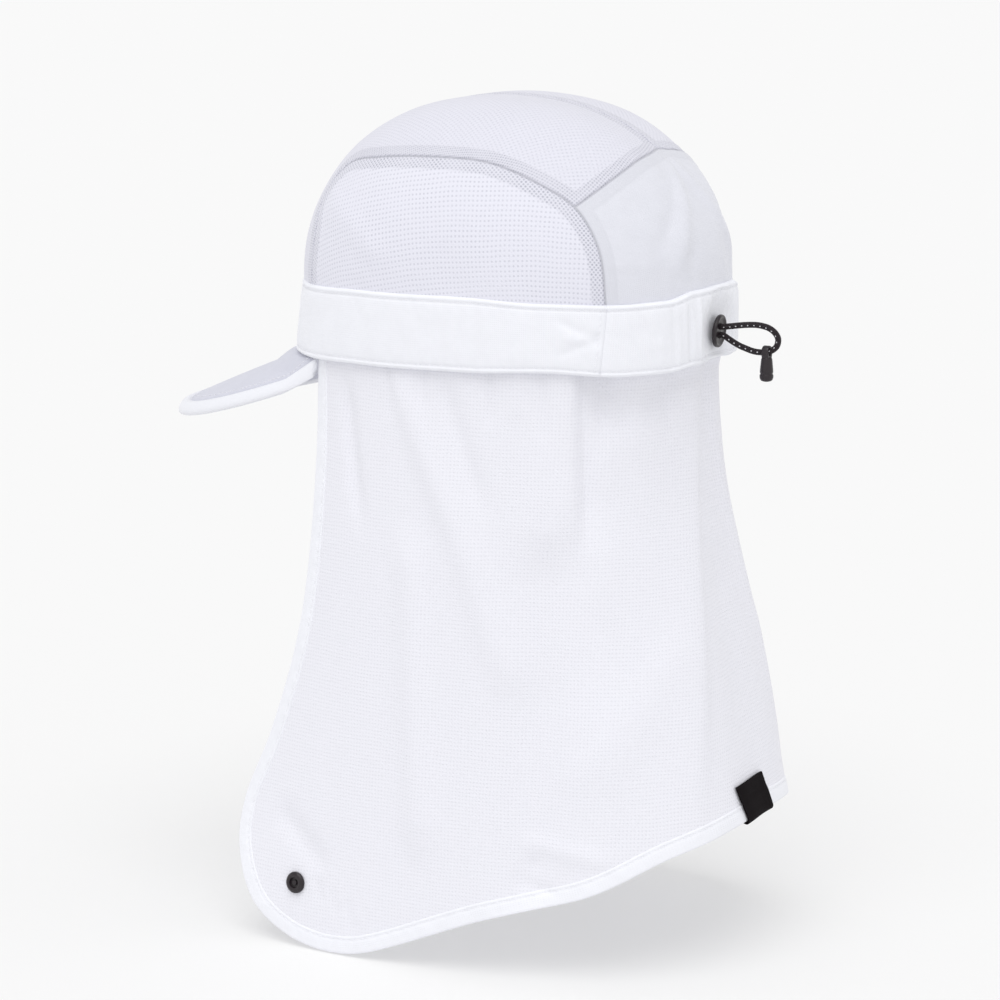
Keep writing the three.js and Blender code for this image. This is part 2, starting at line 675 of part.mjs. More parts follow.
// Share of the free edge at the middle of the front corner.
function cornerShare() {
  const shares = Array.from({ length: 401 }, (_, index) => index / 1000);
  const reach = (share) => {
    const at = edgeCurve.getPointAt(share);
    return at.x - at.y;
  };
  return shares.reduce((best, share) => (reach(share) > reach(best) ? share : best));
}
const CORNER = cornerShare();

// Place inside the cape panel, from the left edge to the right and from the top down: a Coons patch.
function capePlace(across, down) {
  const inset = CAPE.hemWidth + GAP;
  const left = (share) => edgePlace(CORNER * share, inset);
  const right = (share) => edgePlace(1 - CORNER * share, inset);
  const hem = (share) => edgePlace(mix(CORNER, 1 - CORNER, share), inset);
  const blend = (key) => {
    const top = (share) => (key === 'level' ? CAPE.top : mix(left(0).around, right(0).around, share));
    const straight = mix(top(across), hem(across)[key], down);
    const sides = mix(left(down)[key], right(down)[key], across);
    const upper = mix(top(0), top(1), across);
    const lower = mix(hem(0)[key], hem(1)[key], across);
    return straight + sides - mix(upper, lower, down);
  };
  return { around: blend('around'), level: Math.min(blend('level'), CAPE.top) };
}
function capePiece() {
  const places = pointGrid(CAPE.rows, CAPE.columns, (across, down) => capePlace(across, down));
  const face = (out) => places.map((row) => row.map(({ around, level }) => capePoint(around, level, out)));
  return piece('cape', sheetSolid(face(0), face(-CAPE.wall)), COLOURS.cape);
}
function hemPiece() {
  const proud = (CAPE.hemWall - CAPE.wall) / 2;
  const face = (out) => pointGrid(1, CAPE.hemColumns, (along, inward) => {
    const { around, level } = edgePlace(along, CAPE.hemWidth * inward);
    return capePoint(around, Math.min(level, CAPE.top), out);
  });
  return piece('cape_hem', sheetSolid(face(proud), face(proud - CAPE.hemWall)), COLOURS.cape);
}

// Turned solid from a profile of [radius, height] pairs, its axis laid along a direction.
function turned(profile, sides, origin, axis) {
  const geometry = new THREE.LatheGeometry(profile.map(([radius, height]) => new THREE.Vector2(radius, height)), sides);
  const turn = new THREE.Quaternion().setFromUnitVectors(new THREE.Vector3(0, 1, 0), axis);
  geometry.applyQuaternion(turn);
  geometry.translate(origin.x, origin.y, origin.z);
  return toGeometry(toSolid(geometry));
}

// Outward normal of the cape at a place.
function capeNormal(around, level) {
  const step = 0.02;
  const across = capePoint(around + step, level).sub(capePoint(around - step, level));
  const up = capePoint(around, level + 1).sub(capePoint(around, level - 1));
  const normal = across.cross(up).normalize();
  return normal.x * around < 0 ? normal.negate() : normal;
}
function snapPiece(name, hand) {
  const around = hand * SNAP.around;
  const normal = capeNormal(around, SNAP.level);
  const origin = capePoint(around, SNAP.level, GAP + 0.1);
  const profile = [
    [0, 0],
    [SNAP.radius, 0],
    [SNAP.radius, SNAP.height * 0.55],
    [SNAP.ring, SNAP.height],
    [SNAP.recess, SNAP.height],
    [SNAP.recess - 0.2, SNAP.height * 0.35],
    [SNAP.post, SNAP.height * 0.35],
    [SNAP.post * 0.8, SNAP.height * 0.8],
    [0, SNAP.height * 0.9],
  ];
  return piece(name, turned(profile, SNAP.sides, origin, normal), COLOURS.black, 0.35);
}

// Label: a strip that runs down the outer face of the hem, slanting to the rear, under it and up the inner face.
function labelPiece() {
  const outerFace = (CAPE.hemWall - CAPE.wall) / 2 + LABEL.gap;
  const innerFace = outerFace - CAPE.hemWall - 2 * LABEL.gap;
  const step = 0.005;
  const [before, after] = [0.5 - step, 0.5 + step].map((share) => {
    const { around, level } = edgePlace(share, 0);
    return capePoint(around, level);
  });
  const perShare = before.distanceTo(after) / (2 * step);
  const path = [
    { rise: LABEL.drop, out: outerFace },
    { rise: CAPE.hemWidth, out: outerFace },
    { rise: 2, out: outerFace },
    { rise: -LABEL.gap, out: outerFace },
    { rise: -LABEL.gap, out: innerFace },
    { rise: 2, out: innerFace },
    { rise: LABEL.under, out: innerFace },
  ];
  const face = (thick) => path.map(({ rise, out }) => (
    Array.from({ length: LABEL.columns + 1 }, (_, column) => {
      const slant = LABEL.slant * (1 - rise / LABEL.drop);
      const along = LABEL.offset + LABEL.width * (column / LABEL.columns - 0.5) - slant;
      const side = out > 0 ? thick : -thick;
      const drop = rise < 0 ? thick : 0;
      const { around, level } = edgePlace(0.5 - along / perShare, rise - drop);
      return capePoint(around, level, out + side);
    })
  ));
  return piece('label_tab', sheetSolid(face(LABEL.wall), face(0)), COLOURS.black, 0.7);
}

// Cylinder along Y between two places, for a cord hole.
function cordHole(radius, x, z, from, to) {
  const hole = new THREE.CylinderGeometry(radius, radius, to - from, 16);
  hole.translate(x, (from + to) / 2, z);
  return toSolid(hole);
}
function discPiece() {
  const profile = [
    [0, 0],
    [DISC.radius - DISC.edge, 0],
    [DISC.radius, DISC.edge],
    [DISC.radius, DISC.wall - DISC.edge],
    [DISC.radius - DISC.rim, DISC.wall],
    [DISC.radius - 2 * DISC.rim, DISC.wall - DISC.dish],
    [0, DISC.wall - DISC.dish / 2],
  ];
  const origin = new THREE.Vector3(0, DISC.back, DISC.level);
  const disc = turned(profile, DISC.sides, origin, new THREE.Vector3(DISC.turn, 1, -DISC.lean).normalize());
  const cuts = [1, -1].map((hand) => (
    cordHole(DISC.hole, 0, DISC.level + hand * DISC.holeSpread, DISC.back - 1, DISC.back + DISC.wall + 1)
  ));
  return piece('cord_disc', toGeometry(toSolid(disc).subtract(cuts[0]).subtract(cuts[1])), COLOURS.black, 0.4);
}
function cordPiece() {
  const route = new THREE.CatmullRomCurve3(CORD_ROUTE.map((point) => new THREE.Vector3(...point)), false, 'centripetal');
  const section = new THREE.Shape(Array.from({ length: CORD.sides }, (_, index) => {
    const turn = 2 * Math.PI * index / CORD.sides;
    return new THREE.Vector2(CORD.radius * Math.cos(turn), CORD.radius * Math.sin(turn));
  }));
  const tube = new THREE.ExtrudeGeometry(section, { steps: CORD.steps, extrudePath: route });
  return piece('cord_loop', toGeometry(toSolid(tube)), COLOURS.cord, 0.8);
}
function pullPiece() {
  const outline = new THREE.Shape();
  outline.absarc(0, PULL.eye, PULL.eyeRadius, 0, Math.PI, false);
  outline.lineTo(-PULL.eyeRadius, PULL.eyeFoot);
  outline.lineTo(PULL.eyeRadius, PULL.eyeFoot);
  const eye = new THREE.ExtrudeGeometry(outline, { depth: PULL.eyeWall, bevelEnabled: false, curveSegments: 8 });
  eye.translate(0, 0, -PULL.eyeWall / 2);
  eye.rotateX(Math.PI / 2);
  eye.translate(0, PULL.at, 0);
  const origin = new THREE.Vector3(0, PULL.at, 0);
  const body = turned(PULL_BODY.map(({ radius, level }) => [radius, level]), PULL.sides, origin, UP);
  const hole = cordHole(PULL.hole, 0, PULL.eye, PULL.at - PULL.eyeRadius, PULL.at + PULL.eyeRadius);
  const pull = toSolid(body).add(toSolid(eye)).subtract(hole);
  return piece('cord_pull', toGeometry(pull), COLOURS.black, 0.45);
}

const cap = new THREE.Group();
cap.add(...crownPieces(), ...bandPieces(), visorPiece(), capePiece(), hemPiece());
cap.add(snapPiece('snap_left', 1), snapPiece('snap_right', -1), labelPiece());
cap.add(discPiece(), cordPiece(), pullPiece());

export default cap;
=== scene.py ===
"""Running cap with a neck cape: perforated crown, folded band, padded visor, hanging cape and black trim."""

import math

import bpy
import numpy as np
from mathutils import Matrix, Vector


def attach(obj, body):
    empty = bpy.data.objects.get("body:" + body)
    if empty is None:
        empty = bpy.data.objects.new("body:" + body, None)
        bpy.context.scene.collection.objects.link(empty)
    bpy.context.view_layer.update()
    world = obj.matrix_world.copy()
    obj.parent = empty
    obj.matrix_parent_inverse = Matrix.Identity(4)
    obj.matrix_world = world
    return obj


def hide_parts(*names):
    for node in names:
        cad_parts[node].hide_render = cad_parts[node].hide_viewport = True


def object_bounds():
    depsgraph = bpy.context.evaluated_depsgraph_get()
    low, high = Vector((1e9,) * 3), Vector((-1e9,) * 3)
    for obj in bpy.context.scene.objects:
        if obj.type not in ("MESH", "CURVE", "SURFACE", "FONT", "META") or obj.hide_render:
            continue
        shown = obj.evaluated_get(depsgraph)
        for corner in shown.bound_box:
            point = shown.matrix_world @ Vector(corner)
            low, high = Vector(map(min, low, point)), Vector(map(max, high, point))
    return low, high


bl_info = {
    "name": "Running Cap",
    "version": (1, 0, 0),
    "blender": (4, 5, 0),
    "location": "View3D > Sidebar > Cap",
    "description": "Makes a soft running cap with a neck cape over the packed frame",
    "category": "Object",
}

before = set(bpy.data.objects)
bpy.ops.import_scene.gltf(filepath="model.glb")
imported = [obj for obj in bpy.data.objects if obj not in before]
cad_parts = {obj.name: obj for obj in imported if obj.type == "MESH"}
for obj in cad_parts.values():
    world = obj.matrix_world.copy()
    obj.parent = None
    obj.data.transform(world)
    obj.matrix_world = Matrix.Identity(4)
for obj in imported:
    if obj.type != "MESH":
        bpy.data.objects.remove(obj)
CAD_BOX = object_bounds()
BODY = "root"

# Forms are worked out in millimetres and degrees, +Z up, the front at -Y, the wearer's left at +X.
MM = 0.001
HALF_TURN = 180.0
UP = np.array([0.0, 0.0, 1.0])
UP_VECTOR = Vector((0, 0, 1))

# Plan outline of the band's outer face: a superellipse.
HEAD = {"front": 93.0, "rear": 95.5, "side": 75.0, "boxiness": 2.36}

# Band: a folded strip with a gathered casing over elastic at the rear.
BAND = {
    "wall": 2.4, "casing_wall": 3.6, "casing_full": 165.0, "flare": 4.0, "flare_power": 1.3,
    "seam_angle": 140.6, "belly": 0.9, "width": 31.0, "edge_round": 1.1, "stitch_inset": 2.3,
}
BAND_ANGLES = np.array([0, 35, 62, 100, 125, 145, 158, 168, 180.0])
BAND_LOWER = np.array([-1.8, -1.8, -0.7, 0, 1.2, -0.6, -0.4, 1, 1.5])
BAND_UPPER = np.array([29.6, 29.6, 31.1, 31.6, 30, 29.4, 29.9, 32.6, 33])
GATHERS = {"pitch": 6.5, "depth": 0.42, "second": 0.25, "second_rate": 2.3, "start": 152.0, "full": 168.0}
# Dent under the disc: an ellipse, its half-sizes across in millimetres and along as a share of the width.
DENT = {"depth": 2.3, "across": 10.0, "along": 0.34, "share": 0.38, "flat": 0.72, "full": 1.9, "lip": 0.25}
# Rolled edge, stitch groove and puckers along the band's edges, and the pinch at its vertical seams.
BAND_RELIEF = {
    "roll": 0.32, "roll_at": 1.1, "roll_width": 0.8, "groove": 0.42, "groove_width": 0.5,
    "pucker": 0.13, "pucker_at": 3.2, "pucker_width": 2.6, "pinch": 0.45, "pinch_width": 0.8,
}
# Degrees by which a vertical seam turns from its foot upwards, and how far the cloth beside it turns along.
SEAM_SLANT = {"foot": 1.37, "rise": 1.87, "reach": 9.0}

# Crown: a soft dome cut along its seams, with a dip at the midline seam.
CROWN = {
    "base": 30.0, "front": 93.4, "rear": 94.0, "side": 74.5, "height": 82.4, "wall": 1.0,
    "boxiness": 2.3, "top_boxiness": 2.175, "dome_front": 2.13, "dome_side": 2.38, "dome_rear": 2.14,
    "dip": 0.033, "dip_slope": 0.25, "sunk_foot": 1.2, "slow_wave": 0.35, "quick_wave": 0.12,
}
# Front angle and level of the seam that arches over a side panel, and of the seam across the rear.
ARCH_SEAM = [
    (36.3, 31), (35.8, 50), (33, 67), (38, 80.5), (55, 85.6), (88, 87.2), (108, 85.4), (124, 78.2),
    (134.3, 69), (139.4, 54), (141.2, 31),
]
REAR_SEAM = [(134.3, 69), (141.5, 74.8), (150, 80.6), (162, 86.3), (180, 89)]
ARCH_CORNERS = (0.27, 0.72)
# Seams sink into a ditch, and the allowances under them lift a strip on both sides.
SEAM = {
    "ditch": 0.55, "ditch_width": 0.65, "ridge": 0.16, "ridge_at": 1.15, "ridge_width": 0.55,
    "allowance": 5.6, "lift": 0.28, "step": 0.6,
}

# Visor: a padded plate that droops forward and is arched across, with a proud rolled rim.
VISOR = {
    "reach": 65.5, "half_root": 48.5, "root_inset": 2.0, "side_step": 0.8, "level": -4.3, "droop": 0.375,
    "curl": 0.05, "curl_reach": 70.0, "arch": 14.5, "boxiness": 2.48, "plate": 3.4, "rim": 5.2,
    "rim_width": 5.6, "end_reach": 16.0, "end_lift": 2.0, "settle": 0.3, "root_gap": 0.3,
}
# Rim and plate of the visor, by distance in from its edge.
RIM = {
    "round": 2.9, "lift": 0.5, "lift_width": 2.0, "crease": 1.0, "crease_beyond": 0.6, "crease_width": 0.7,
    "sunk": 0.35, "sunk_by": 6.5, "thin_from": 4.0, "thin_over": 6.0,
}

# Cape: one sheet sewn inside the band, hanging free round the sides and the rear.
CAPE = {
    "top": 6.0, "front": 92.8, "side": 72.3, "side_flare": 0.078, "rear": 88.0, "rear_tuck": 3.2,
    "tuck_reach": 7.0, "rear_flare": 0.23, "flare_from": 50.0, "flare_blend": 12.0, "straight_by": 240.0,
    "front_curl": 0.83, "wall": 1.0, "solid_wall": 1.2, "hem_width": 8.0, "hem_wall": 2.0,
    "forward_step": 120.0, "under_hem": 2.4,
}
# Relief of the hem: a stitch groove and puckers by inset from its inner side, and a swell from the free edge.
HEM = {
    "groove": 0.32, "groove_inset": 1.7, "groove_width": 0.5,
    "swell": 0.12, "swell_at": 3.2, "swell_width": 3.0,
    "pucker": 0.1, "pucker_inset": 2.6, "pucker_width": 1.6,
}
# Place of the free edge: around is 0 at the rear and 1 at the side, then goes forward, and the level.
CAPE_EDGE = [
    (1.565, 6), (1.541, -45), (1.579, -114), (1.7, -165), (1.805, -196), (1.814, -216), (1.72, -239.5),
    (1.534, -252.4), (1.3, -254.7), (1.061, -245.6), (0.806, -231.2), (0.532, -218.3), (0.322, -201.8),
    (0.16, -194.9), (0, -193.4),
]
# Soft folds: around, lean for each 100 mm down, rise, width, and the levels between which they run.
CAPE_FOLDS = [
    (0.01, 0.115, 1.2, 0.075, -20, -230),
    (0, 0, -2, 0.09, -70, -230),
    (0.43, 0.02, 1.1, 0.05, -2, -110),
    (0.59, 0.03, -3.4, 0.09, -62, -240),
    (1.14, -0.06, 2.2, 0.06, -60, -215),
    (1.415, -0.15, -2.3, 0.032, 3, -76),
]
FOLD_FADE = 26.0
# Short creases: around and level at both ends, rise, and the widths ahead of the line and behind it.
CAPE_CREASES = [
    (0.49, 4, 0.49, -64, -2.8, 2.4, 14),
    (0.49, -56, 0.52, -132, -1.2, 8, 16),
    (0.54, 4, 0.54, -62, 1.5, 14, 4),
    (0.54, -54, 0.57, -124, 0.8, 16, 8),
    (0.03, 6, 0.24, -172, 2.6, 13, 3.4),
    (0.44, 5, 0.36, -26, -1.1, 6, 5),
    (0.46, -15, 0.2, -13, -2.6, 9, 9),
    (1.169, -6, 0.891, -74, 1.8, 6, 8),
    (0.891, -74, 0.718, -131, 1.6, 7, 9),
    (0.987, -4, 0.824, -55, -1.4, 5, 5),
    (1.209, 4, 1.19, -20, -0.9, 2.2, 3),
    (1.06, 4, 1.05, -16, -0.6, 2, 2.5),
    (0.807, 4, 0.8, -20, -0.8, 2.2, 3),
    (0.7, 4, 0.71, -17, 0.6, 3, 3),
    (0.62, 4, 0.615, -26, -0.8, 2.5, 3),
    (0.426, 4, 0.44, -32, -1.0, 2.5, 4),
    (0.31, 4, 0.3, -24, 0.7, 3, 3),
    (0.207, 4, 0.2, -28, -0.9, 2.5, 4),
    (0.09, 4, 0.1, -24, 0.7, 3, 3),
    (0.662, -203, 0.69, -214, -0.8, 2.2, 2.2),
    (0.69, -214, 0.61, -217, -0.7, 2.2, 2.2),
    (0.68, -196, 0.469, -203, 0.9, 4, 4),
    (1.618, -198, 1.42, -218, -1.5, 6, 6),
    (1.44, -224, 1.41, -234, -0.5, 1.6, 1.6),
    (1.37, -228, 1.345, -239, -0.5, 1.6, 1.6),
    (1.3, -232, 1.28, -244, -0.5, 1.6, 1.6),
    (0.237, -113, 0.529, -172, 1.2, 9, 11),
]
CAPE_AROUND_MM = 128.0
# Creases of the crown and of the band, in the same way, by front angle and by level or share of the width.
CROWN_CREASES = [
    (36.6, 71, 69.7, 47, 0.8, 5, 7),
    (178, 84, 163, 44, 1.5, 3.5, 5),
    (174, 80, 158, 52, -0.9, 3, 4),
    (143, 62, 152, 52, -0.35, 2.5, 3),
    (144, 46, 154, 44, 0.35, 3, 3),
    (170, 50, 168, 34, -0.5, 3, 3),
    (60, 36, 66, 50, 0.35, 5, 5),
    (96, 34, 92, 52, -0.3, 7, 7),
]
BAND_CREASES = [
    (138.3, 0.52, 128, 0.76, -0.55, 1.5, 2),
    (138.3, 0.5, 128.8, 0.27, -0.5, 1.5, 2),
    (137.5, 0.52, 130, 0.52, 0.45, 2.2, 2.2),
    (138.6, 0.6, 138.6, 0.42, -0.6, 1.2, 1.2),
    (112, 0.9, 108, 0.62, -0.22, 1.8, 1.8),
    (84, 0.1, 88, 0.4, 0.22, 2.5, 2.5),
    (60, 0.9, 63, 0.6, -0.2, 2, 2),
    (148, 0.95, 151, 0.55, -0.35, 2, 2),
    (156, 0.1, 155, 0.5, 0.35, 2, 2),
]
BAND_AROUND_MM = 1.45

SNAP = {
    "around": 1.527, "level": -227.6, "radius": 4.7, "height": 1.8, "ring": 3.3, "recess": 2.4, "post": 1.15,
    "lift": 0.2,
}
LABEL = {
    "offset": 9.5, "width": 26.0, "drop": 16.5, "slant": 4.2, "wall": 0.7, "under": 9.0, "gap": 0.75,
    "fold_from": 1.2, "ease": 0.35, "ease_over": 3.0,
}

DISC = {
    "level": 13.5, "radius": 7.0, "back": 94.9, "wall": 1.9, "rim": 0.9, "dish": 0.6, "lean": 0.08,
    "turn": -0.07, "hole": 1.6, "hole_spread": 1.85,
}
CORD = {"diameter": 2.6, "sides": 20, "steps": 200}
CORD_ROUTE = [
    (0, 94.2, 15.35), (0, 97.7, 15.35), (0, 101.3, 15.8), (0.1, 104.4, 16.3), (0.2, 107.3, 16.7),
    (0.3, 110.3, 17), (0.3, 113.1, 17.1), (0.3, 116, 16.8), (0.3, 118.9, 16), (0.3, 121.4, 14.3),
    (0.2, 122.8, 11.8), (0.1, 122.3, 8.9), (0, 120.3, 6.9), (0, 117.7, 5.9), (0, 113.9, 5.6), (0, 110.8, 6),
    (0, 108.1, 6.8), (0, 105.4, 7.7), (0, 102.8, 8.9), (0, 100.3, 10.3), (0, 97.7, 11.65), (0, 94.2, 11.65),
]
PULL = {"at": 117.7, "eye": 5.9, "hole": 1.6, "eye_radius": 2.75, "eye_wall": 3.0, "eye_foot": 1.2, "sides": 48}
# Section of the eye from its rim to its hole: share of the way out from the hole, and drop from the flat face.
EYE_SECTION = [(1, 0.5), (0.93, 0.12), (0.82, 0), (0.12, 0), (0, 0.25)]
PULL_BODY = [
    (0, -6.6), (1.4, -6.55), (2.2, -6.25), (2.7, -5.6), (2.9, -4.8), (2.93, -4.2), (2.88, -3.75), (2.66, -3.45),
    (2.62, -3.2), (2.7, -2.95), (2.84, -2.6), (2.82, -2.2), (2.72, -1), (2.6, 0.3), (2.5, 1.6), (2.36, 2.8),
    (2.1, 3.6), (1.5, 4.0), (0, 4.1),
]

# Stitching: how far the threads stand over the cloth, their places beside seams and rims, and points on a line.
THREAD_LIFT = {"band": 0.06, "hem": 0.1, "visor": 0.08}
SEAM_THREADS = {"gap": 0.6, "beside": 1.6, "ends": (0.06, 0.94), "points": 500, "upright_points": 60}
HEM_THREADS = {"ends": (0.004, 0.996), "points": 1600}
RIM_THREADS = (0.7, 3.6)

# Picture: where the camera stands, and the lens that gives the photograph's scale.
VIEW = {
    "azimuth": 117.0, "elevation": 11.1, "target": (0, -8.05, -68.6), "distance": 1500.0,
    "lens": 122.58, "sensor": 36,
}
# Floor in metres: half its side, and its depth under the lowest point.
FLOOR = {"half": 40.0, "under": 0.0006}


# Numbers.
def smooth(value):
    """Smooth passage from 0 to 1."""
    share = np.clip(value, 0.0, 1.0)
    return share * share * (3.0 - 2.0 * share)


def mix(start, end, share):
    """Value at a share of the way between two others."""
    return start + (end - start) * share


def unit(vectors):
    """Vectors brought to length 1."""
    return vectors / np.maximum(np.linalg.norm(vectors, axis=-1, keepdims=True), 1e-12)


def bell(value, centre, width):
    """Smooth hump of height 1."""
    return np.exp(-(((value - centre) / width) ** 2))


def rounded(distance, radius):
    """Fall of a rounded edge as a share of its radius, at a distance in from it."""
    inside = np.clip(1 - distance / radius, 0, 1)
    return 1 - np.sqrt(1 - inside**2)


def puckers(run, rate, sway, sway_rate):
    """Waves along a row of stitches, their spacing a little uneven."""
    return np.sin(rate * run + sway * np.sin(sway_rate * run))


def together(*parts):
    """Matching arrays side by side along a new last axis."""
    return np.stack(np.broadcast_arrays(*parts), axis=-1)


def running_length(line):
    """Distance along a polyline from its start to each of its points."""
    return np.concatenate([[0.0], np.cumsum(np.linalg.norm(np.diff(line, axis=0), axis=1))])


def read_rows(keys, values, at):
    """Reads a table with smooth passage from row to row."""
    index = np.clip(np.searchsorted(keys, at), 1, len(keys) - 1)
    share = (at - keys[index - 1]) / (keys[index] - keys[index - 1])
    return mix(values[index - 1], values[index], smooth(share))


# Share of a crease's length over which it fades at each end.
CREASE_FADE = 0.2


def crease_rise(across, along, creases, across_mm, along_mm=1.0):
    """Rise of short creases, each steeper on the side where it is narrower."""
    rise = np.zeros(np.broadcast_shapes(np.shape(across), np.shape(along)))
    for start_across, start_along, end_across, end_along, height, ahead, behind in creases:
        step = np.array([(end_across - start_across) * across_mm, (end_along - start_along) * along_mm])
        length = np.linalg.norm(step)
        x, y = (across - start_across) * across_mm, (along - start_along) * along_mm
        run = (x * step[0] + y * step[1]) / length**2
        aside = (y * step[0] - x * step[1]) / length
        width = np.where(aside > 0, ahead, behind)
        from_start = (run + CREASE_FADE) / (2 * CREASE_FADE)
        to_end = (1 + CREASE_FADE - run) / (2 * CREASE_FADE)
        rise = rise + height * bell(aside, 0, width) * smooth(from_start) * smooth(to_end)
    return rise


def close_borders(count, crowding=0.8):
    """Shares from 0 to 1 that crowd towards both ends, where cloth turns sharply."""
    even = np.linspace(0.0, 1.0, count + 1)
    return even - crowding * np.sin(2 * np.pi * even) / (2 * np.pi)


# Points between two given ones on a smooth curve.
CURVE_STEPS = 60


def smooth_curve(rows):
    """Centripetal curve through points, as a dense polyline with its running length."""
    points = np.array(rows, dtype=float)
    ends = 2 * points[0] - points[1], 2 * points[-1] - points[-2]
    full = np.vstack([ends[0], points, ends[1]])
    share = np.linspace(0.0, 1.0, CURVE_STEPS, endpoint=False)[:, None]
    parts = []
    for before, here, there, after in zip(full[:-3], full[1:-2], full[2:-1], full[3:]):
        steps = (here - before, there - here, after - there)
        first, step, last = (math.sqrt(np.linalg.norm(run)) for run in steps)
        leave = (here - before) / first - (there - before) / (first + step) + (there - here) / step
        arrive = (there - here) / step - (after - here) / (step + last) + (after - there) / last
        leave, arrive = leave * step, arrive * step
        cubic = 2 * here - 2 * there + leave + arrive
        square = 3 * there - 3 * here - 2 * leave - arrive
        parts.append(here + leave * share + square * share**2 + cubic * share**3)
    line = np.vstack([*parts, points[-1:]])
    return line, running_length(line)


def along_curve(curve, shares):
    """Points at shares of a curve's length."""
    line, run = curve
    at = np.asarray(shares) * run[-1]
    return together(*(np.interp(at, run, line[:, axis]) for axis in range(line.shape[1])))


def polar(angle, radius, level):
    """Points at front angles, distances from the axis and levels."""
    turn = np.radians(angle)
    return together(radius * np.sin(turn), -radius * np.cos(turn), level)


def from_front(angle):
    """Angle from the front on either side, for angles counted on through the rear."""
    turn = np.abs(angle)
    return np.where(turn > HALF_TURN, 2 * HALF_TURN - turn, turn)


def signed_angle(angle):
    """Front angle between half a turn on either side, for angles counted on through the rear."""
    return np.where(angle > HALF_TURN, angle - 2 * HALF_TURN, angle)


def bearing(azimuth, elevation):
    """Direction at an azimuth from the front and an elevation, in radians."""
    level = math.cos(elevation)
    return Vector((math.sin(azimuth) * level, -math.cos(azimuth) * level, math.sin(elevation)))


def outline_radius(angle, front, rear, side, boxiness):
    """Distance from the axis to a superellipse, in the direction of a front angle."""
    across = np.abs(np.sin(np.radians(angle)))
    along = np.cos(np.radians(angle))
    length = np.where(along > 0, front, rear)
    return ((across / side) ** boxiness + (np.abs(along) / length) ** boxiness) ** (-1 / boxiness)


# Meshes.
def link_object(name, data):
    """Object of some data, in the scene."""
    piece = bpy.data.objects.new(name, data)
    bpy.context.scene.collection.objects.link(piece)
    return piece


def add_mesh(name, points, faces, uv=None, marks=None, sharp=None):
    """Object from points in millimetres, its faces outward, with the cloth's own coordinates and marks."""
    points = np.asarray(points, dtype=float).reshape(-1, 3)
    if signed_volume(points, faces) < 0:
        faces = [tuple(reversed(face)) for face in faces]
    mesh = bpy.data.meshes.new(name)
    mesh.from_pydata((points * MM).tolist(), [], faces)
    if uv is not None:
        corners = np.empty(len(mesh.loops), dtype=np.int32)
        mesh.loops.foreach_get("vertex_index", corners)
        layer = mesh.uv_layers.new(name="Cloth")
        layer.data.foreach_set("uv", np.asarray(uv, dtype=np.float32).reshape(-1, 2)[corners].ravel())
    for label, values in (marks or {}).items():
        mark = mesh.attributes.new(label, "FLOAT", "POINT")
        mark.data.foreach_set("value", np.asarray(values, dtype=np.float32).ravel())
    mesh.shade_smooth()
    if sharp is not None:
        mesh.set_sharp_from_angle(angle=math.radians(sharp))
    mesh.validate()
    return link_object(name, mesh)


def signed_volume(points, faces):
    """Six times the volume that closed faces hold, negative when they point inwards."""
    total = 0.0
    groups = {}
    for face in faces:
        groups.setdefault(len(face), []).append(face)
    for size, group in groups.items():
        corners = points[np.array(group)]
        for step in range(1, size - 1):
            total += np.einsum("ij,ij->", corners[:, 0], np.cross(corners[:, step], corners[:, step + 1]))
    return total


def grid_faces(rows, columns, start=0, wrap_columns=False):
    """Quads of a grid of points, row by row."""
    row = np.arange(rows - 1)[:, None]
    column = np.arange(columns if wrap_columns else columns - 1)[None, :]
    after = (column + 1) % columns
    quads = together(
        start + row * columns + column, start + row * columns + after,
        start + (row + 1) * columns + after, start + (row + 1) * columns + column,
    )
    return [tuple(quad) for quad in quads.reshape(-1, 4).tolist()]


def cloth_shell(name, outer, inner, uv, marks=None):
    """Closed sheet from two equal grids of points: an outer face, an inner face and four rims."""
    rows, columns = outer.shape[:2]
    count = rows * columns
    faces = grid_faces(rows, columns) + [tuple(reversed(face)) for face in grid_faces(rows, columns, count)]
    places = np.arange(count).reshape(rows, columns)
    ring = [*places[0], *places[1:, -1], *places[-1, -2::-1], *places[-2:0:-1, 0]]
    ring = [int(place) for place in ring]
    faces += [(a, a + count, b + count, b) for a, b in zip(ring, ring[1:] + ring[:1])]
    points = np.concatenate([outer.reshape(-1, 3), inner.reshape(-1, 3)])
    both = {label: np.concatenate([values.ravel()] * 2) for label, values in (marks or {}).items()}
    return add_mesh(name, points, faces, np.concatenate([uv.reshape(-1, 2)] * 2), both, sharp=50)


def loft(name, rings, uv=None, marks=None, sharp=None):
    """Closed solid through rings of points, with its two ends filled."""
    count, around = rings.shape[:2]
    faces = grid_faces(count, around, wrap_columns=True)
    faces.append(tuple(range(around - 1, -1, -1)))
    faces.append(tuple(range((count - 1) * around, count * around)))
    return add_mesh(name, rings, faces, uv, marks, sharp)


def turned(name, profile, sides, origin, axis, sharp=40):
    """Turned solid from radius and height pairs that start and end on the axis."""
    turn = np.linspace(0, 2 * np.pi, sides, endpoint=False)
    inner = np.array(profile[1:-1], dtype=float)
    rings = together(inner[:, :1] * np.cos(turn), inner[:, :1] * np.sin(turn), inner[:, 1:])
    points = np.concatenate([rings.reshape(-1, 3), [[0, 0, profile[0][1]], [0, 0, profile[-1][1]]]])
    faces = grid_faces(len(inner), sides, wrap_columns=True)
    start, end, last = len(points) - 2, len(points) - 1, (len(inner) - 1) * sides
    faces += [(start, (side + 1) % sides, side) for side in range(sides)]
    faces += [(end, last + side, last + (side + 1) % sides) for side in range(sides)]
    turning = np.array(UP_VECTOR.rotation_difference(Vector(axis)).to_matrix())
    return add_mesh(name, points @ turning.T + np.array(origin), faces, sharp=sharp)


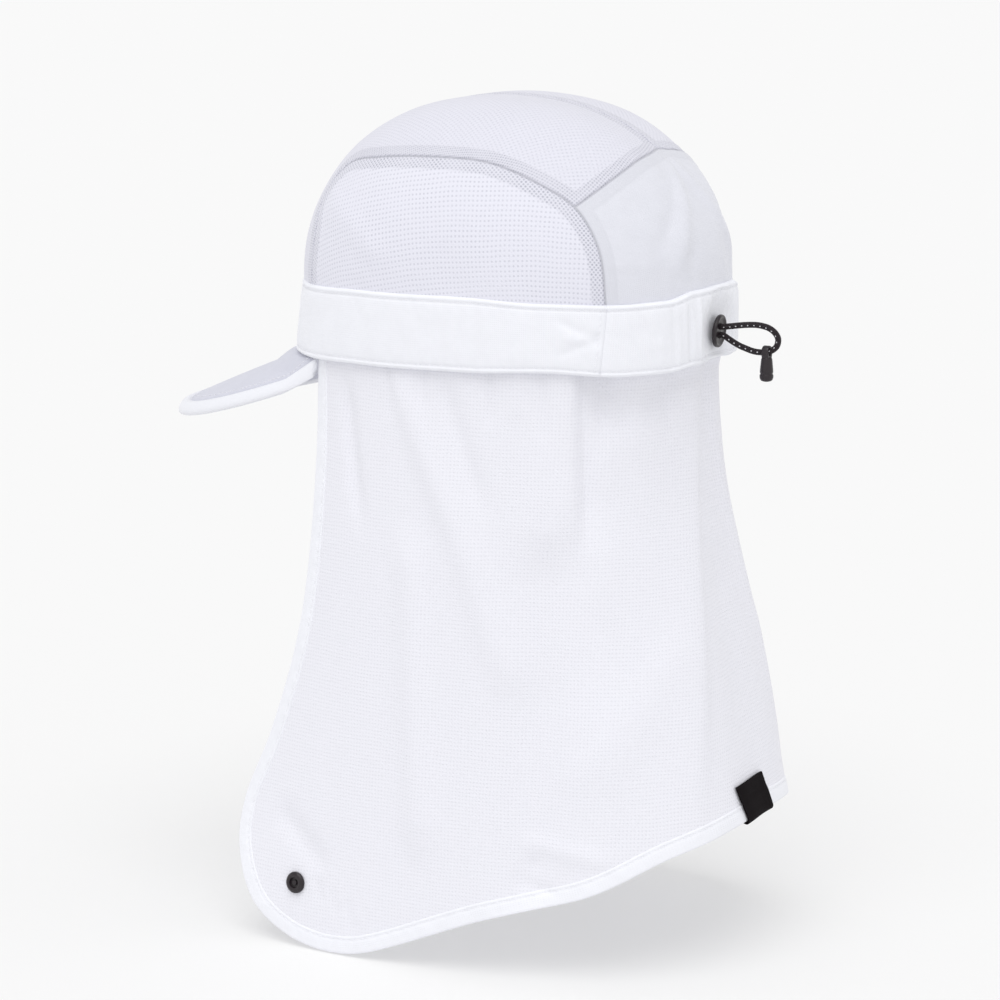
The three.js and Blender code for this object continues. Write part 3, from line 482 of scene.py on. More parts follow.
def finish_mesh(piece):
    """Applies a piece's modifiers, so that what is left is a plain mesh."""
    graph = bpy.context.evaluated_depsgraph_get()
    made = bpy.data.meshes.new_from_object(piece.evaluated_get(graph))
    piece.modifiers.clear()
    piece.data = made
    return piece


def dress(piece, slot, material, *nodes):
    """Gives a piece its material and body, and hides the frame's nodes that it stands for; its slot is not
    used.
    """
    piece.data.materials.clear()
    piece.data.materials.append(material)
    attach(piece, BODY)
    if nodes:
        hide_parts(*nodes)
    return piece


# Colours and nodes.
def linear(code):
    """Linear colour with alpha from an sRGB hex value."""
    parts = [int(code[index:index + 2], 16) / 255 for index in (1, 3, 5)]
    low, high = [part / 12.92 for part in parts], [((part + 0.055) / 1.055) ** 2.4 for part in parts]
    return (*(low[i] if part <= 0.04045 else high[i] for i, part in enumerate(parts)), 1.0)


def add_node(tree, kind, inputs=None, **settings):
    """Adds a node with its settings. Each input is a value or another node's output."""
    node = tree.nodes.new(kind)
    for name, value in settings.items():
        setattr(node, name, value)
    for key, value in (inputs or {}).items():
        if isinstance(value, bpy.types.NodeSocket):
            tree.links.new(value, node.inputs[key])
        else:
            node.inputs[key].default_value = value
    return node


def blank_material(name, colour):
    """Empty node material, its plain colour also set for solid view."""
    material = bpy.data.materials.new(name)
    material.use_nodes = True
    material.node_tree.nodes.clear()
    material.diffuse_color = colour
    return material, material.node_tree


def cloth_shader(tree, colour, height, depth, roughness=0.88, sheen=0.25, specular=0.25):
    """Matt cloth: a colour, a relief in metres and the soft light edge that fine fibres give."""
    bump = add_node(tree, "ShaderNodeBump", {"Strength": 1.0, "Distance": depth, "Height": height})
    shader = add_node(tree, "ShaderNodeBsdfPrincipled", {
        "Base Color": colour, "Roughness": roughness, "Normal": bump.outputs["Normal"],
    })
    shader.inputs["Sheen Weight"].default_value = sheen
    shader.inputs["Sheen Roughness"].default_value = 0.5
    shader.inputs["Specular IOR Level"].default_value = specular
    add_node(tree, "ShaderNodeOutputMaterial", {"Surface": shader.outputs["BSDF"]})


def shade(colour, share):
    """A colour brought to a share of its brightness."""
    return tuple(part * share for part in colour[:3]) + (1.0,)


def nearer_than(tree, mark, reach, soft, most=1.0):
    """Share of the cloth that is nearer than a reach to a marked line, with a soft end: a seam allowance, or
    painted shade and light along seams and rims.
    """
    away = add_node(tree, "ShaderNodeAttribute", attribute_name=mark)
    return add_node(tree, "ShaderNodeMapRange", {
        "Value": away.outputs["Fac"], "From Min": reach - soft, "From Max": reach + soft,
        "To Min": most, "To Max": 0.0,
    }, interpolation_type="SMOOTHSTEP").outputs["Result"]


def painted_seam_shadow(tree, base, colour):
    """Colour with a painted shadow along the sewn line of a seam."""
    return add_node(tree, "ShaderNodeMix", {
        "Factor": nearer_than(tree, "seam", 0.5, 0.25, 0.42), "A": base, "B": shade(colour, 0.45),
    }, data_type="RGBA").outputs["Result"]


def hole_grid(tree, places, pitch, hole):
    """Places counted from the middle of each cell of a grid, and a mask of the round hole there."""
    half = (pitch[0] / 2, pitch[1] / 2, 1.0)
    cell = add_node(tree, "ShaderNodeVectorMath", {
        0: places, 1: half, 2: tuple(-side for side in half),
    }, operation="WRAP")
    flat = add_node(tree, "ShaderNodeVectorMath", {
        0: cell.outputs["Vector"], 1: (1.0, 1.0, 0.0),
    }, operation="MULTIPLY")
    away = add_node(tree, "ShaderNodeVectorMath", {0: flat.outputs["Vector"]}, operation="LENGTH")
    mask = add_node(tree, "ShaderNodeMapRange", {
        "Value": away.outputs["Value"], "From Min": hole * 0.6, "From Max": hole * 1.5,
        "To Min": 1.0, "To Max": 0.0,
    }, interpolation_type="SMOOTHSTEP")
    return flat.outputs["Vector"], mask.outputs["Result"]


def perforated_knit(name, colour, interior_shade_colour, single, doubled, pitch, hole, turn=0.0, hatch=0.0):
    """Polyester mesh knit: rows of tiny holes, drawn as dots of painted shade for the cap's inside seen through
    them, darker where a seam allowance lies under the cloth.

    The holes are 0.7 to 0.8 mm across and 1.6 to 2.1 mm apart, in rows that waver a little. Single and doubled
    say how clearly they show in one layer of cloth and in two, and hatch how clearly the knit's threads do.
    """
    material, tree = blank_material(name, colour)
    cloth = add_node(tree, "ShaderNodeUVMap", uv_map="Cloth")
    lattice = add_node(tree, "ShaderNodeMapping", {"Vector": cloth.outputs["UV"], "Rotation": (0, 0, turn)})
    waver = add_node(tree, "ShaderNodeTexNoise", {
        "Vector": cloth.outputs["UV"], "Scale": 0.035, "Detail": 1.0,
    }, noise_dimensions="2D")
    wavy = add_node(tree, "ShaderNodeVectorMath", {
        0: waver.outputs["Color"], 1: (1.8, 1.8, 0.0), 2: lattice.outputs["Vector"],
    }, operation="MULTIPLY_ADD")
    cells, holes = hole_grid(tree, wavy.outputs["Vector"], pitch, hole)
    aside = add_node(tree, "ShaderNodeVectorMath", {
        0: cells, 1: (pitch[0] / 2, pitch[1] / 2, 0.0),
    }, operation="ADD")
    lower_holes = hole_grid(tree, aside.outputs["Vector"], pitch, hole)[1]
    allowance = nearer_than(tree, "seam", SEAM["allowance"], 0.5)
    patchy = add_node(tree, "ShaderNodeTexNoise", {
        "Vector": cloth.outputs["UV"], "Scale": 0.05, "Detail": 3.0, "Roughness": 0.6,
    }, noise_dimensions="2D")
    lively = add_node(tree, "ShaderNodeMapRange", {
        "Value": patchy.outputs["Fac"], "From Min": 0.3, "From Max": 0.7, "To Min": 0.7, "To Max": 1.25,
    })
    strength = add_node(tree, "ShaderNodeMapRange", {"Value": allowance, "To Min": single, "To Max": doubled})
    through = add_node(tree, "ShaderNodeMath", {0: lower_holes, 1: allowance}, operation="MULTIPLY")
    both = add_node(tree, "ShaderNodeMath", {
        0: through.outputs["Value"], 1: 0.8, 2: holes,
    }, operation="MULTIPLY_ADD")
    weight = add_node(tree, "ShaderNodeMath", {
        0: strength.outputs["Result"], 1: lively.outputs["Result"],
    }, operation="MULTIPLY")
    shown = add_node(tree, "ShaderNodeMath", {
        0: weight.outputs["Value"], 1: both.outputs["Value"],
    }, operation="MULTIPLY", use_clamp=True)
    base = add_node(tree, "ShaderNodeMix", {
        "Factor": allowance, "A": colour, "B": shade(colour, 0.945),
    }, data_type="RGBA").outputs["Result"]
    if hatch:
        threads = add_node(tree, "ShaderNodeTexWave", {
            "Vector": cloth.outputs["UV"], "Scale": 0.22, "Distortion": 1.2, "Detail": 2.0, "Detail Scale": 2.0,
        }, bands_direction="DIAGONAL")
        faint = add_node(tree, "ShaderNodeMath", {0: threads.outputs["Fac"], 1: hatch}, operation="MULTIPLY")
        base = add_node(tree, "ShaderNodeMix", {
            "Factor": faint.outputs["Value"], "A": base, "B": shade(colour, 0.9),
        }, data_type="RGBA").outputs["Result"]
    # Painted shade: the holes show as dots in the dark tone of the cap's shaded inside.
    tinted = add_node(tree, "ShaderNodeMix", {
        # Painted shadow along the sewn line of each seam.
        "Factor": shown.outputs["Value"], "A": painted_seam_shadow(tree, base, colour), "B": interior_shade_colour,
    }, data_type="RGBA")
    fibre = add_node(tree, "ShaderNodeTexNoise", {
        "Vector": cloth.outputs["UV"], "Scale": 1.4, "Detail": 2.0,
    }, noise_dimensions="2D")
    raised = add_node(tree, "ShaderNodeMath", {
        0: holes, 1: -0.7, 2: fibre.outputs["Fac"],
    }, operation="MULTIPLY_ADD")
    cloth_shader(tree, tinted.outputs["Result"], raised.outputs["Value"], 0.00012)
    return material


# Millimetres from thread to thread as drawn, since the real 0.25 mm is too fine to show.
DRAWN_THREAD = 0.9


def plain_weave(name, colour, depth=0.00006, beside=None):
    """Woven polyester: smooth, with a faint crossing of threads and slight unevenness from the press.

    Beside gives a mark, a distance in millimetres and the colour that the cloth has nearer than that: over a
    seam allowance, or on a padded rim, where it is painted light against the plate's painted shade. Along a
    seam the sewn line also gets a painted shadow.
    """
    material, tree = blank_material(name, colour)
    cloth = add_node(tree, "ShaderNodeUVMap", uv_map="Cloth")
    warp, weft = (add_node(tree, "ShaderNodeTexWave", {
        "Vector": cloth.outputs["UV"], "Scale": 0.314 / DRAWN_THREAD, "Distortion": 0.6, "Detail": 1.0,
    }, bands_direction=axis) for axis in "XY")
    crossing = add_node(tree, "ShaderNodeMath", {
        0: warp.outputs["Fac"], 1: weft.outputs["Fac"],
    }, operation="MULTIPLY")
    pressed = add_node(tree, "ShaderNodeTexNoise", {
        "Vector": cloth.outputs["UV"], "Scale": 0.12, "Detail": 4.0, "Roughness": 0.6,
    }, noise_dimensions="2D")
    relief = add_node(tree, "ShaderNodeMath", {
        0: pressed.outputs["Fac"], 1: 3.0, 2: crossing.outputs["Value"],
    }, operation="MULTIPLY_ADD")
    flatter = add_node(tree, "ShaderNodeMapRange", {
        "Value": pressed.outputs["Fac"], "From Min": 0.3, "From Max": 0.7, "To Min": 0.0, "To Max": 1.0,
    })
    tinted = add_node(tree, "ShaderNodeMix", {
        "Factor": flatter.outputs["Result"], "A": shade(colour, 0.975), "B": colour,
    }, data_type="RGBA").outputs["Result"]
    # Nearer the marked line: the doubled cloth over a seam allowance, or painted light on a visor's rim.
    if beside:
        mark, reach, near_colour = beside
        tinted = add_node(tree, "ShaderNodeMix", {
            "Factor": nearer_than(tree, mark, reach, 0.5), "A": tinted, "B": near_colour,
        }, data_type="RGBA").outputs["Result"]
        # Painted shadow along the sewn line of a seam.
        if mark == "seam":
            tinted = painted_seam_shadow(tree, tinted, colour)
    cloth_shader(tree, tinted, relief.outputs["Value"], depth, roughness=0.8, sheen=0.3)
    return material


def spun_thread(name, colour):
    """Polyester sewing thread, twisted: a soft light line with a slight sheen."""
    material, tree = blank_material(name, colour)
    place = add_node(tree, "ShaderNodeTexCoord")
    twist = add_node(tree, "ShaderNodeTexNoise", {
        "Vector": place.outputs["Object"], "Scale": 2500.0, "Detail": 1.0,
    })
    cloth_shader(tree, colour, twist.outputs["Fac"], 0.00004, roughness=0.6, sheen=0.2)
    return material


def moulded_plastic(name, colour):
    """Black acetal: moulded, with the fine spark texture of its tool and a soft gloss."""
    material, tree = blank_material(name, colour)
    place = add_node(tree, "ShaderNodeTexCoord").outputs["Object"]
    spark = add_node(tree, "ShaderNodeTexNoise", {"Vector": place, "Scale": 4000.0, "Detail": 2.0})
    worn = add_node(tree, "ShaderNodeTexNoise", {"Vector": place, "Scale": 400.0, "Detail": 3.0})
    gloss = add_node(tree, "ShaderNodeMapRange", {
        "Value": worn.outputs["Fac"], "From Min": 0.3, "From Max": 0.7, "To Min": 0.3, "To Max": 0.46,
    })
    bump = add_node(tree, "ShaderNodeBump", {
        "Strength": 0.6, "Distance": 0.00003, "Height": spark.outputs["Fac"],
    })
    shader = add_node(tree, "ShaderNodeBsdfPrincipled", {
        "Base Color": colour, "Roughness": gloss.outputs["Result"], "IOR": 1.48,
        "Normal": bump.outputs["Normal"],
    })
    add_node(tree, "ShaderNodeOutputMaterial", {"Surface": shader.outputs["BSDF"]})
    return material


def label_weave(name, colour):
    """Taffeta label tape: dense weave of black polyester, its ribs 0.5 mm apart."""
    material, tree = blank_material(name, colour)
    cloth = add_node(tree, "ShaderNodeUVMap", uv_map="Cloth")
    ribs = add_node(tree, "ShaderNodeTexWave", {
        "Vector": cloth.outputs["UV"], "Scale": 0.62, "Distortion": 0.3, "Detail": 1.0,
    }, bands_direction="Y")
    ends = add_node(tree, "ShaderNodeTexWave", {
        "Vector": cloth.outputs["UV"], "Scale": 0.75, "Distortion": 0.3, "Detail": 1.0,
    }, bands_direction="X")
    relief = add_node(tree, "ShaderNodeMath", {
        0: ribs.outputs["Fac"], 1: ends.outputs["Fac"],
    }, operation="ADD").outputs["Value"]
    lighter = add_node(tree, "ShaderNodeMix", {
        "Factor": relief, "A": colour, "B": shade(colour, 1.8),
    }, data_type="RGBA")
    cloth_shader(tree, lighter.outputs["Result"], relief, 0.00008, roughness=0.7, sheen=0.0, specular=0.05)
    return material


def braided_cord(name, colour, fleck):
    """Elastic cord in a polyester braid, with a white yarn that shows as a fleck every 2.8 mm."""
    material, tree = blank_material(name, colour)
    cloth = add_node(tree, "ShaderNodeUVMap", uv_map="Cloth")
    parts = add_node(tree, "ShaderNodeSeparateXYZ", {"Vector": cloth.outputs["UV"]})
    left = add_node(tree, "ShaderNodeTexWave", {
        "Vector": cloth.outputs["UV"], "Scale": 0.5, "Distortion": 0.0,
    }, bands_direction="DIAGONAL")
    mirrored = add_node(tree, "ShaderNodeMapping", {"Vector": cloth.outputs["UV"], "Scale": (-1, 1, 1)})
    right = add_node(tree, "ShaderNodeTexWave", {
        "Vector": mirrored.outputs["Vector"], "Scale": 0.5, "Distortion": 0.0,
    }, bands_direction="DIAGONAL")
    braid = add_node(tree, "ShaderNodeMath", {0: left.outputs["Fac"], 1: right.outputs["Fac"]}, operation="ADD")
    along = add_node(tree, "ShaderNodeMath", {0: parts.outputs["Y"], 1: 2.8}, operation="FLOORED_MODULO")
    far = add_node(tree, "ShaderNodeMath", {0: along.outputs["Value"], 1: 1.4}, operation="SUBTRACT")
    reach = add_node(tree, "ShaderNodeMath", {0: far.outputs["Value"], 1: 0.34}, operation="DIVIDE")
    half = CORD["diameter"] * math.pi / 2
    round_about = add_node(tree, "ShaderNodeMath", {0: parts.outputs["X"], 1: half}, operation="PINGPONG")
    aside = add_node(tree, "ShaderNodeMath", {0: round_about.outputs["Value"], 1: 0.42}, operation="DIVIDE")
    spot = add_node(tree, "ShaderNodeCombineXYZ", {"X": reach.outputs["Value"], "Y": aside.outputs["Value"]})
    away = add_node(tree, "ShaderNodeVectorMath", {0: spot.outputs["Vector"]}, operation="LENGTH")
    flecks = add_node(tree, "ShaderNodeMapRange", {
        "Value": away.outputs["Value"], "From Min": 0.75, "From Max": 1.15, "To Min": 1.0, "To Max": 0.0,
    })
    tinted = add_node(tree, "ShaderNodeMix", {
        "Factor": flecks.outputs["Result"], "A": colour, "B": fleck,
    }, data_type="RGBA")
    cloth_shader(tree, tinted.outputs["Result"], braid.outputs["Value"], 0.00015, roughness=0.7, sheen=0.1)
    return material


def studio_floor(name, colour, glow):
    """Opal acrylic studio floor, lit a little from below: pale, matt and even, with light shadows."""
    material, tree = blank_material(name, colour)
    place = add_node(tree, "ShaderNodeTexCoord")
    satin = add_node(tree, "ShaderNodeTexNoise", {
        "Vector": place.outputs["Object"], "Scale": 3.0, "Detail": 2.0,
    })
    gloss = add_node(tree, "ShaderNodeMapRange", {"Value": satin.outputs["Fac"], "To Min": 0.94, "To Max": 1.0})
    shader = add_node(tree, "ShaderNodeBsdfPrincipled", {
        "Base Color": colour, "Roughness": gloss.outputs["Result"],
    })
    shader.inputs["Specular IOR Level"].default_value = 0.0
    shader.inputs["Emission Color"].default_value = (1.0, 1.0, 1.0, 1.0)
    shader.inputs["Emission Strength"].default_value = glow
    add_node(tree, "ShaderNodeOutputMaterial", {"Surface": shader.outputs["BSDF"]})
    return material


# Crown.
def crown_radius(direction):
    """Distance from the crown's centre to its surface."""
    x, y, z = direction[..., 0], direction[..., 1], direction[..., 2]
    boxiness = mix(CROWN["boxiness"], CROWN["top_boxiness"], z * z)
    length = np.where(y < 0, CROWN["front"], CROWN["rear"])
    plan = np.abs(x / CROWN["side"]) ** boxiness + np.abs(y / length) ** boxiness
    facing = -y / np.maximum(np.hypot(x, y), 1e-6)
    dome = mix(CROWN["dome_side"], np.where(facing > 0, CROWN["dome_front"], CROWN["dome_rear"]), facing**2)
    slope = x / np.maximum(z, 1e-3) / CROWN["dip_slope"]
    height = CROWN["height"] * (1 - CROWN["dip"] * np.exp(-np.minimum(slope * slope, 60)))
    return (plan ** (dome / boxiness) + np.abs(z / height) ** dome) ** (-1 / dome)


def crown_direction(angle, elevation):
    """Direction from the crown's centre at a front angle and an elevation in radians."""
    return polar(angle, np.cos(elevation), np.sin(elevation))


# Times that a search for a level halves its range.
HALVINGS = 40


def crown_at_level(angle, level):
    """Direction of the crown's point at a front angle and a level."""
    angle, level = np.broadcast_arrays(np.asarray(angle, float), np.asarray(level, float))
    low, high = np.full(angle.shape, -0.3), np.full(angle.shape, np.pi / 2)
    for _ in range(HALVINGS):
        middle = (low + high) / 2
        direction = crown_direction(angle, middle)
        below = CROWN["base"] + crown_radius(direction) * direction[..., 2] < level
        low, high = np.where(below, middle, low), np.where(below, high, middle)
    return crown_direction(angle, low)


def crown_place(direction):
    """Point of the crown in a direction, from the crown's centre."""
    towards = unit(direction)
    return towards * crown_radius(towards)[..., None]


def crown_point(direction):
    """Point of the crown in a direction, and its outward normal."""
    centre = crown_place(direction)
    sideways = np.cross(UP, direction)
    across = np.where(np.linalg.norm(sideways, axis=-1, keepdims=True) < 1e-3, [1.0, 0, 0], unit(sideways))
    along = unit(np.cross(direction, across))
    step = 0.004
    sideways, upwards = (crown_place(direction + step * way) - centre for way in (across, along))
    normal = unit(np.cross(sideways, upwards))
    normal = np.where((normal * direction).sum(-1, keepdims=True) < 0, -normal, normal)
    return centre + UP * CROWN["base"], normal


def band_edge(angle, levels):
    """Level of the band's lower or upper edge at front angles."""
    return read_rows(BAND_ANGLES, levels, from_front(angle))


def crown_foot(angle):
    """The crown's lower edge, tucked into the band."""
    return crown_at_level(angle, band_edge(angle, BAND_UPPER) - CROWN["sunk_foot"])


# Millimetres round the head for one degree.
MM_PER_DEGREE = 1.4


def seam_curve(rows):
    """Seam as a function from a share of its length to directions from the crown's centre."""
    curve = smooth_curve([(angle * MM_PER_DEGREE, level) for angle, level in rows])

    def at(shares):
        places = along_curve(curve, shares)
        return crown_at_level(places[..., 0] / MM_PER_DEGREE, places[..., 1])

    return at


def footed(rows):
    """Seam rows whose first and last points are brought down to the band's upper edge."""
    feet = [(row[0], float(band_edge(row[0], BAND_UPPER)) - CROWN["sunk_foot"]) for row in (rows[0], rows[-1])]
    return [feet[0], *rows[1:-1], feet[1]]


arch_seam = seam_curve(footed(ARCH_SEAM))
rear_seam = seam_curve(REAR_SEAM)


def arch_junction():
    """Share of the arch seam's length at which the rear seam meets it."""
    shares = np.linspace(0.5, 1.0, 1001)
    return shares[np.argmin(np.linalg.norm(arch_seam(shares) - rear_seam(0.0), axis=-1))]


JUNCTION = arch_junction()


def mirror(directions):
    """Directions or points turned to the wearer's right."""
    return directions * np.array([-1.0, 1.0, 1.0])


def midline(shares):
    """The midline seam from the brow to the rear seam."""
    start, end = crown_foot(0.0), rear_seam(1.0)
    low, high = math.atan2(start[2], -start[1]), math.atan2(end[2], -end[1])
    return crown_direction(np.zeros_like(shares), mix(low, high, shares))


def rear_both(shares):
    """The rear seam from the wearer's left to the right."""
    near = rear_seam(np.minimum(2 * shares, 1.0))
    return np.where((shares < 0.5)[..., None], near, mirror(rear_seam(np.clip(2 - 2 * shares, 0, 1))))


FRONT_FOOT, REAR_FOOT = ARCH_SEAM[0][0], ARCH_SEAM[-1][0]
TOP_BORDERS = {
    "lower": lambda u: crown_foot(FRONT_FOOT * u),
    "upper": lambda u: rear_seam(1 - u),
    "first": midline,
    "last": lambda v: arch_seam(JUNCTION * v),
}
SIDE_BORDERS = {
    "lower": lambda u: crown_foot(mix(FRONT_FOOT, REAR_FOOT, u)),
    "upper": lambda u: arch_seam(mix(*ARCH_CORNERS, u)),
    "first": lambda v: arch_seam(ARCH_CORNERS[0] * v),
    "last": lambda v: arch_seam(mix(1.0, ARCH_CORNERS[1], v)),
}
BACK_BORDERS = {
    "lower": lambda u: crown_foot(mix(REAR_FOOT, 2 * HALF_TURN - REAR_FOOT, u)),
    "upper": rear_both,
    "first": lambda v: arch_seam(mix(1.0, JUNCTION, v)),
    "last": lambda v: mirror(arch_seam(mix(1.0, JUNCTION, v))),
}


def patch(borders, across, along):
    """Grid of directions inside four border curves, a Coons patch."""
    u, v = across[None, :, None], along[:, None, None]
    lower, upper = borders["lower"](across)[None], borders["upper"](across)[None]
    first, last = borders["first"](along)[:, None], borders["last"](along)[:, None]
    straight = lower * (1 - v) + upper * v + first * (1 - u) + last * u
    corners = lower[:, :1] * (1 - u) * (1 - v) + lower[:, -1:] * u * (1 - v)
    corners = corners + upper[:, :1] * (1 - u) * v + upper[:, -1:] * u * v
    return unit(straight - corners)


# Points measured at a time, which keeps the arrays small.
BATCH = 4000


def distance_to(points, lines):
    """Distance from each point to the nearest of some polylines."""
    flat = points.reshape(-1, 3)
    best = np.full(len(flat), 1e9)
    for line in lines:
        start, step = line[:-1], np.diff(line, axis=0)
        for begin in range(0, len(flat), BATCH):
            part = flat[begin:begin + BATCH, None]
            share = np.clip(((part - start) * step).sum(-1) / np.maximum((step * step).sum(-1), 1e-9), 0, 1)
            away = np.linalg.norm(part - start - share[..., None] * step, axis=-1).min(1)
            best[begin:begin + BATCH] = np.minimum(best[begin:begin + BATCH], away)
    return best.reshape(points.shape[:-1])


def seam_relief(away):
    """Rise of the cloth beside a seam: a ditch, the ridge beside it and the allowance that lifts it."""
    lift = SEAM["lift"] * (1 - smooth((away - SEAM["allowance"] + SEAM["step"]) / (2 * SEAM["step"])))
    ridge = SEAM["ridge"] * bell(away, SEAM["ridge_at"], SEAM["ridge_width"])
    return lift + ridge - SEAM["ditch"] * bell(away, 0, SEAM["ditch_width"])


# Mean radius of the crown in millimetres.
MEAN_RADIUS = 88.0


def flat_cut(points):
    """Cloth coordinates in millimetres on a domed panel, true in every direction from its middle."""
    rows, columns = points.shape[:2]
    centre = points[rows // 2, columns // 2]
    outward = centre - UP * CROWN["base"]
    across = unit(np.cross(UP, outward))
    up = unit(np.cross(outward, across))
    away = points - centre
    chord = np.linalg.norm(away, axis=-1)
    arc = 2 * MEAN_RADIUS * np.arcsin(np.minimum(chord / (2 * MEAN_RADIUS), 0.99))
    flat = together(away @ across, away @ up)
    return flat / np.maximum(np.linalg.norm(flat, axis=-1, keepdims=True), 1e-6) * arc[..., None]


def running_cut(points):
    """Cloth coordinates in millimetres that run across from the first column and along it."""
    across = np.array([running_length(row) for row in points])
    return together(across, running_length(points[:, 0])[:, None])


SEWN_BORDERS = ("first", "last", "upper")


def crown_panel(name, borders, columns, rows, cut, mirrored=False):
    """One cloth panel of the crown, sunk into the seams at its sewn borders."""
    directions = patch(borders, close_borders(columns), close_borders(rows))
    points, normal = crown_point(directions)
    fine = np.linspace(0, 1, 240)
    away = distance_to(points, [crown_point(borders[side](fine))[0] for side in SEWN_BORDERS])
    outer = points + normal * (seam_relief(away) + crown_waves(points))[..., None]
    inner = points - normal * CROWN["wall"]
    if mirrored:
        outer, inner = mirror(outer), mirror(inner)
    return cloth_shell(name, outer, inner, cut(points), {"seam": away})


def crown_waves(points):
    """Slight softness of the unlined cloth, and its creases."""
    x, y, z = points[..., 0], points[..., 1], points[..., 2]
    slow = np.sin(0.061 * x + 0.043 * y + 0.9) * np.sin(0.052 * z - 0.037 * y + 0.4)
    quick = np.sin(0.13 * x - 0.09 * y + 0.07 * z + 1.7) * np.sin(0.11 * z + 0.08 * y)
    angle = np.degrees(np.arctan2(np.abs(x), -y))
    waves = CROWN["slow_wave"] * slow + CROWN["quick_wave"] * quick
    return waves + crease_rise(angle, z, CROWN_CREASES, MM_PER_DEGREE)


# Band.
def band_wall(angle):
    """Wall of the band, which thickens from the seams to the middle of the gathered casing."""
    gathered = smooth((np.abs(angle) - BAND["seam_angle"]) / (BAND["casing_full"] - BAND["seam_angle"]))
    return mix(BAND["wall"], BAND["casing_wall"], gathered)


def band_rise(angle, share):
    """Rise of the band's outer face: belly, gathers, sewn edges, creases and the disc's dent."""
    turn = np.abs(angle)
    edge = np.minimum(share, 1 - share) * BAND["width"]
    strength = smooth((turn - GATHERS["start"]) / (GATHERS["full"] - GATHERS["start"]))
    phase = 2 * np.pi * turn / GATHERS["pitch"]
    gathers = GATHERS["depth"] * np.cos(phase)
    gathers = strength * (gathers + GATHERS["second"] * np.sin(GATHERS["second_rate"] * phase + 3 * share))
    belly = (1 - (2 * share - 1) ** 4) * (BAND["belly"] + gathers)
    behind = np.radians(HALF_TURN - turn) * HEAD["rear"]
    away = np.hypot(behind / DENT["across"], (share - DENT["share"]) / DENT["along"])
    dented = 1 - smooth((away - DENT["flat"]) / (DENT["full"] - DENT["flat"]))
    lip = DENT["lip"] * bell(away, DENT["full"], 0.3) * strength
    creases = crease_rise(turn, share, BAND_CREASES, BAND_AROUND_MM, BAND["width"])
    return belly * (1 - dented) - dented * DENT["depth"] + sewn_edge(angle, edge) + creases + lip


def sewn_edge(angle, edge):
    """Relief along the band's edges, by distance from them: a roll, a stitch groove and uneven puckers."""
    roll = BAND_RELIEF["roll"] * bell(edge, BAND_RELIEF["roll_at"], BAND_RELIEF["roll_width"])
    groove = BAND_RELIEF["groove"] * bell(edge, BAND["stitch_inset"], BAND_RELIEF["groove_width"])
    run = angle * BAND_AROUND_MM
    pucker = BAND_RELIEF["pucker"] * bell(edge, BAND_RELIEF["pucker_at"], BAND_RELIEF["pucker_width"])
    return roll - groove + pucker * puckers(run, 1.05, 1.4, 0.11) * (0.5 + 0.5 * np.sin(0.05 * run + 1))


def slanted(angle, share):
    """Front angles, turned near the vertical seam so that it slants as it is sewn."""
    hand = np.where((angle < 0) | (angle > HALF_TURN), -1.0, 1.0)
    turned_by = SEAM_SLANT["rise"] * share - SEAM_SLANT["foot"]
    return angle + hand * turned_by * bell(from_front(angle), BAND["seam_angle"], SEAM_SLANT["reach"])


def band_point(angle, share, rise):
    """Points of the band at front angles, shares of its width from the lower edge, and a rise."""
    front = HEAD["front"] + BAND["flare"] * (1 - share) ** BAND["flare_power"]
    outer = outline_radius(angle, front, HEAD["rear"], HEAD["side"], HEAD["boxiness"])
    level = mix(band_edge(angle, BAND_LOWER), band_edge(angle, BAND_UPPER), share)
    return polar(angle, outer + rise, level)


def edge_rounding(share):
    """Drop of a face towards the band's two rounded edges."""
    return BAND["edge_round"] * rounded(np.minimum(share, 1 - share) * BAND["width"], BAND["edge_round"])


def band_strip(name, start, end, columns):
    """Stretch of the folded band between two front angles, counted on through the rear."""
    angles = start + (end - start) * close_borders(columns, 0.5)
    turn = signed_angle(angles)[:, None]
    shares = close_borders(46, 0.9)
    to_seam = np.minimum(angles - start, end - angles)[:, None] * MM_PER_DEGREE
    pinch = BAND_RELIEF["pinch"] * bell(to_seam, 0, BAND_RELIEF["pinch_width"])
    front, rear = shares[None, :], shares[None, ::-1][:, 1:-1]
    outer = band_point(slanted(turn, front), front, band_rise(turn, front) - edge_rounding(front) - pinch)
    inner = band_point(slanted(turn, rear), rear, edge_rounding(rear) - band_wall(turn))
    cut = together(angles[:, None] * BAND_AROUND_MM, np.concatenate([front, rear], axis=1) * BAND["width"])
    return loft(name, np.concatenate([outer, inner], axis=1), cut)


# Visor.
def signed_power(value, exponent):
    """Power that keeps the sign."""
    return np.sign(value) * np.abs(value) ** exponent


VISOR_FRONT = HEAD["front"] + BAND["flare"]


def visor_root(turn, inset):
    """The visor's root along the band, in plan."""
    power = 2 / HEAD["boxiness"]
    across = (HEAD["side"] - inset) * signed_power(np.sin(turn), power)
    return together(across, -(VISOR_FRONT - inset) * np.cos(turn) ** power)


VISOR_END = visor_root(np.radians(VISOR["half_root"]), 0.0)
VISOR_COLUMNS = 220
VISOR_SHARES = 1 - (1 - np.linspace(0, 1, 71)) ** 1.6


def visor_outline():
    """The visor's outline in plan, its columns spread evenly along it."""
    power = 2 / VISOR["boxiness"]
    sweep = np.pi * (np.linspace(0, 1, 4001) - 0.5)
    x = (VISOR_END[0] + VISOR["side_step"]) * signed_power(np.sin(sweep), power)
    y = VISOR_END[1] - (VISOR["reach"] + VISOR_FRONT + VISOR_END[1]) * np.abs(np.cos(sweep)) ** power
    line = together(x, y)
    return along_curve((line, running_length(line)), np.linspace(0, 1, VISOR_COLUMNS + 1))


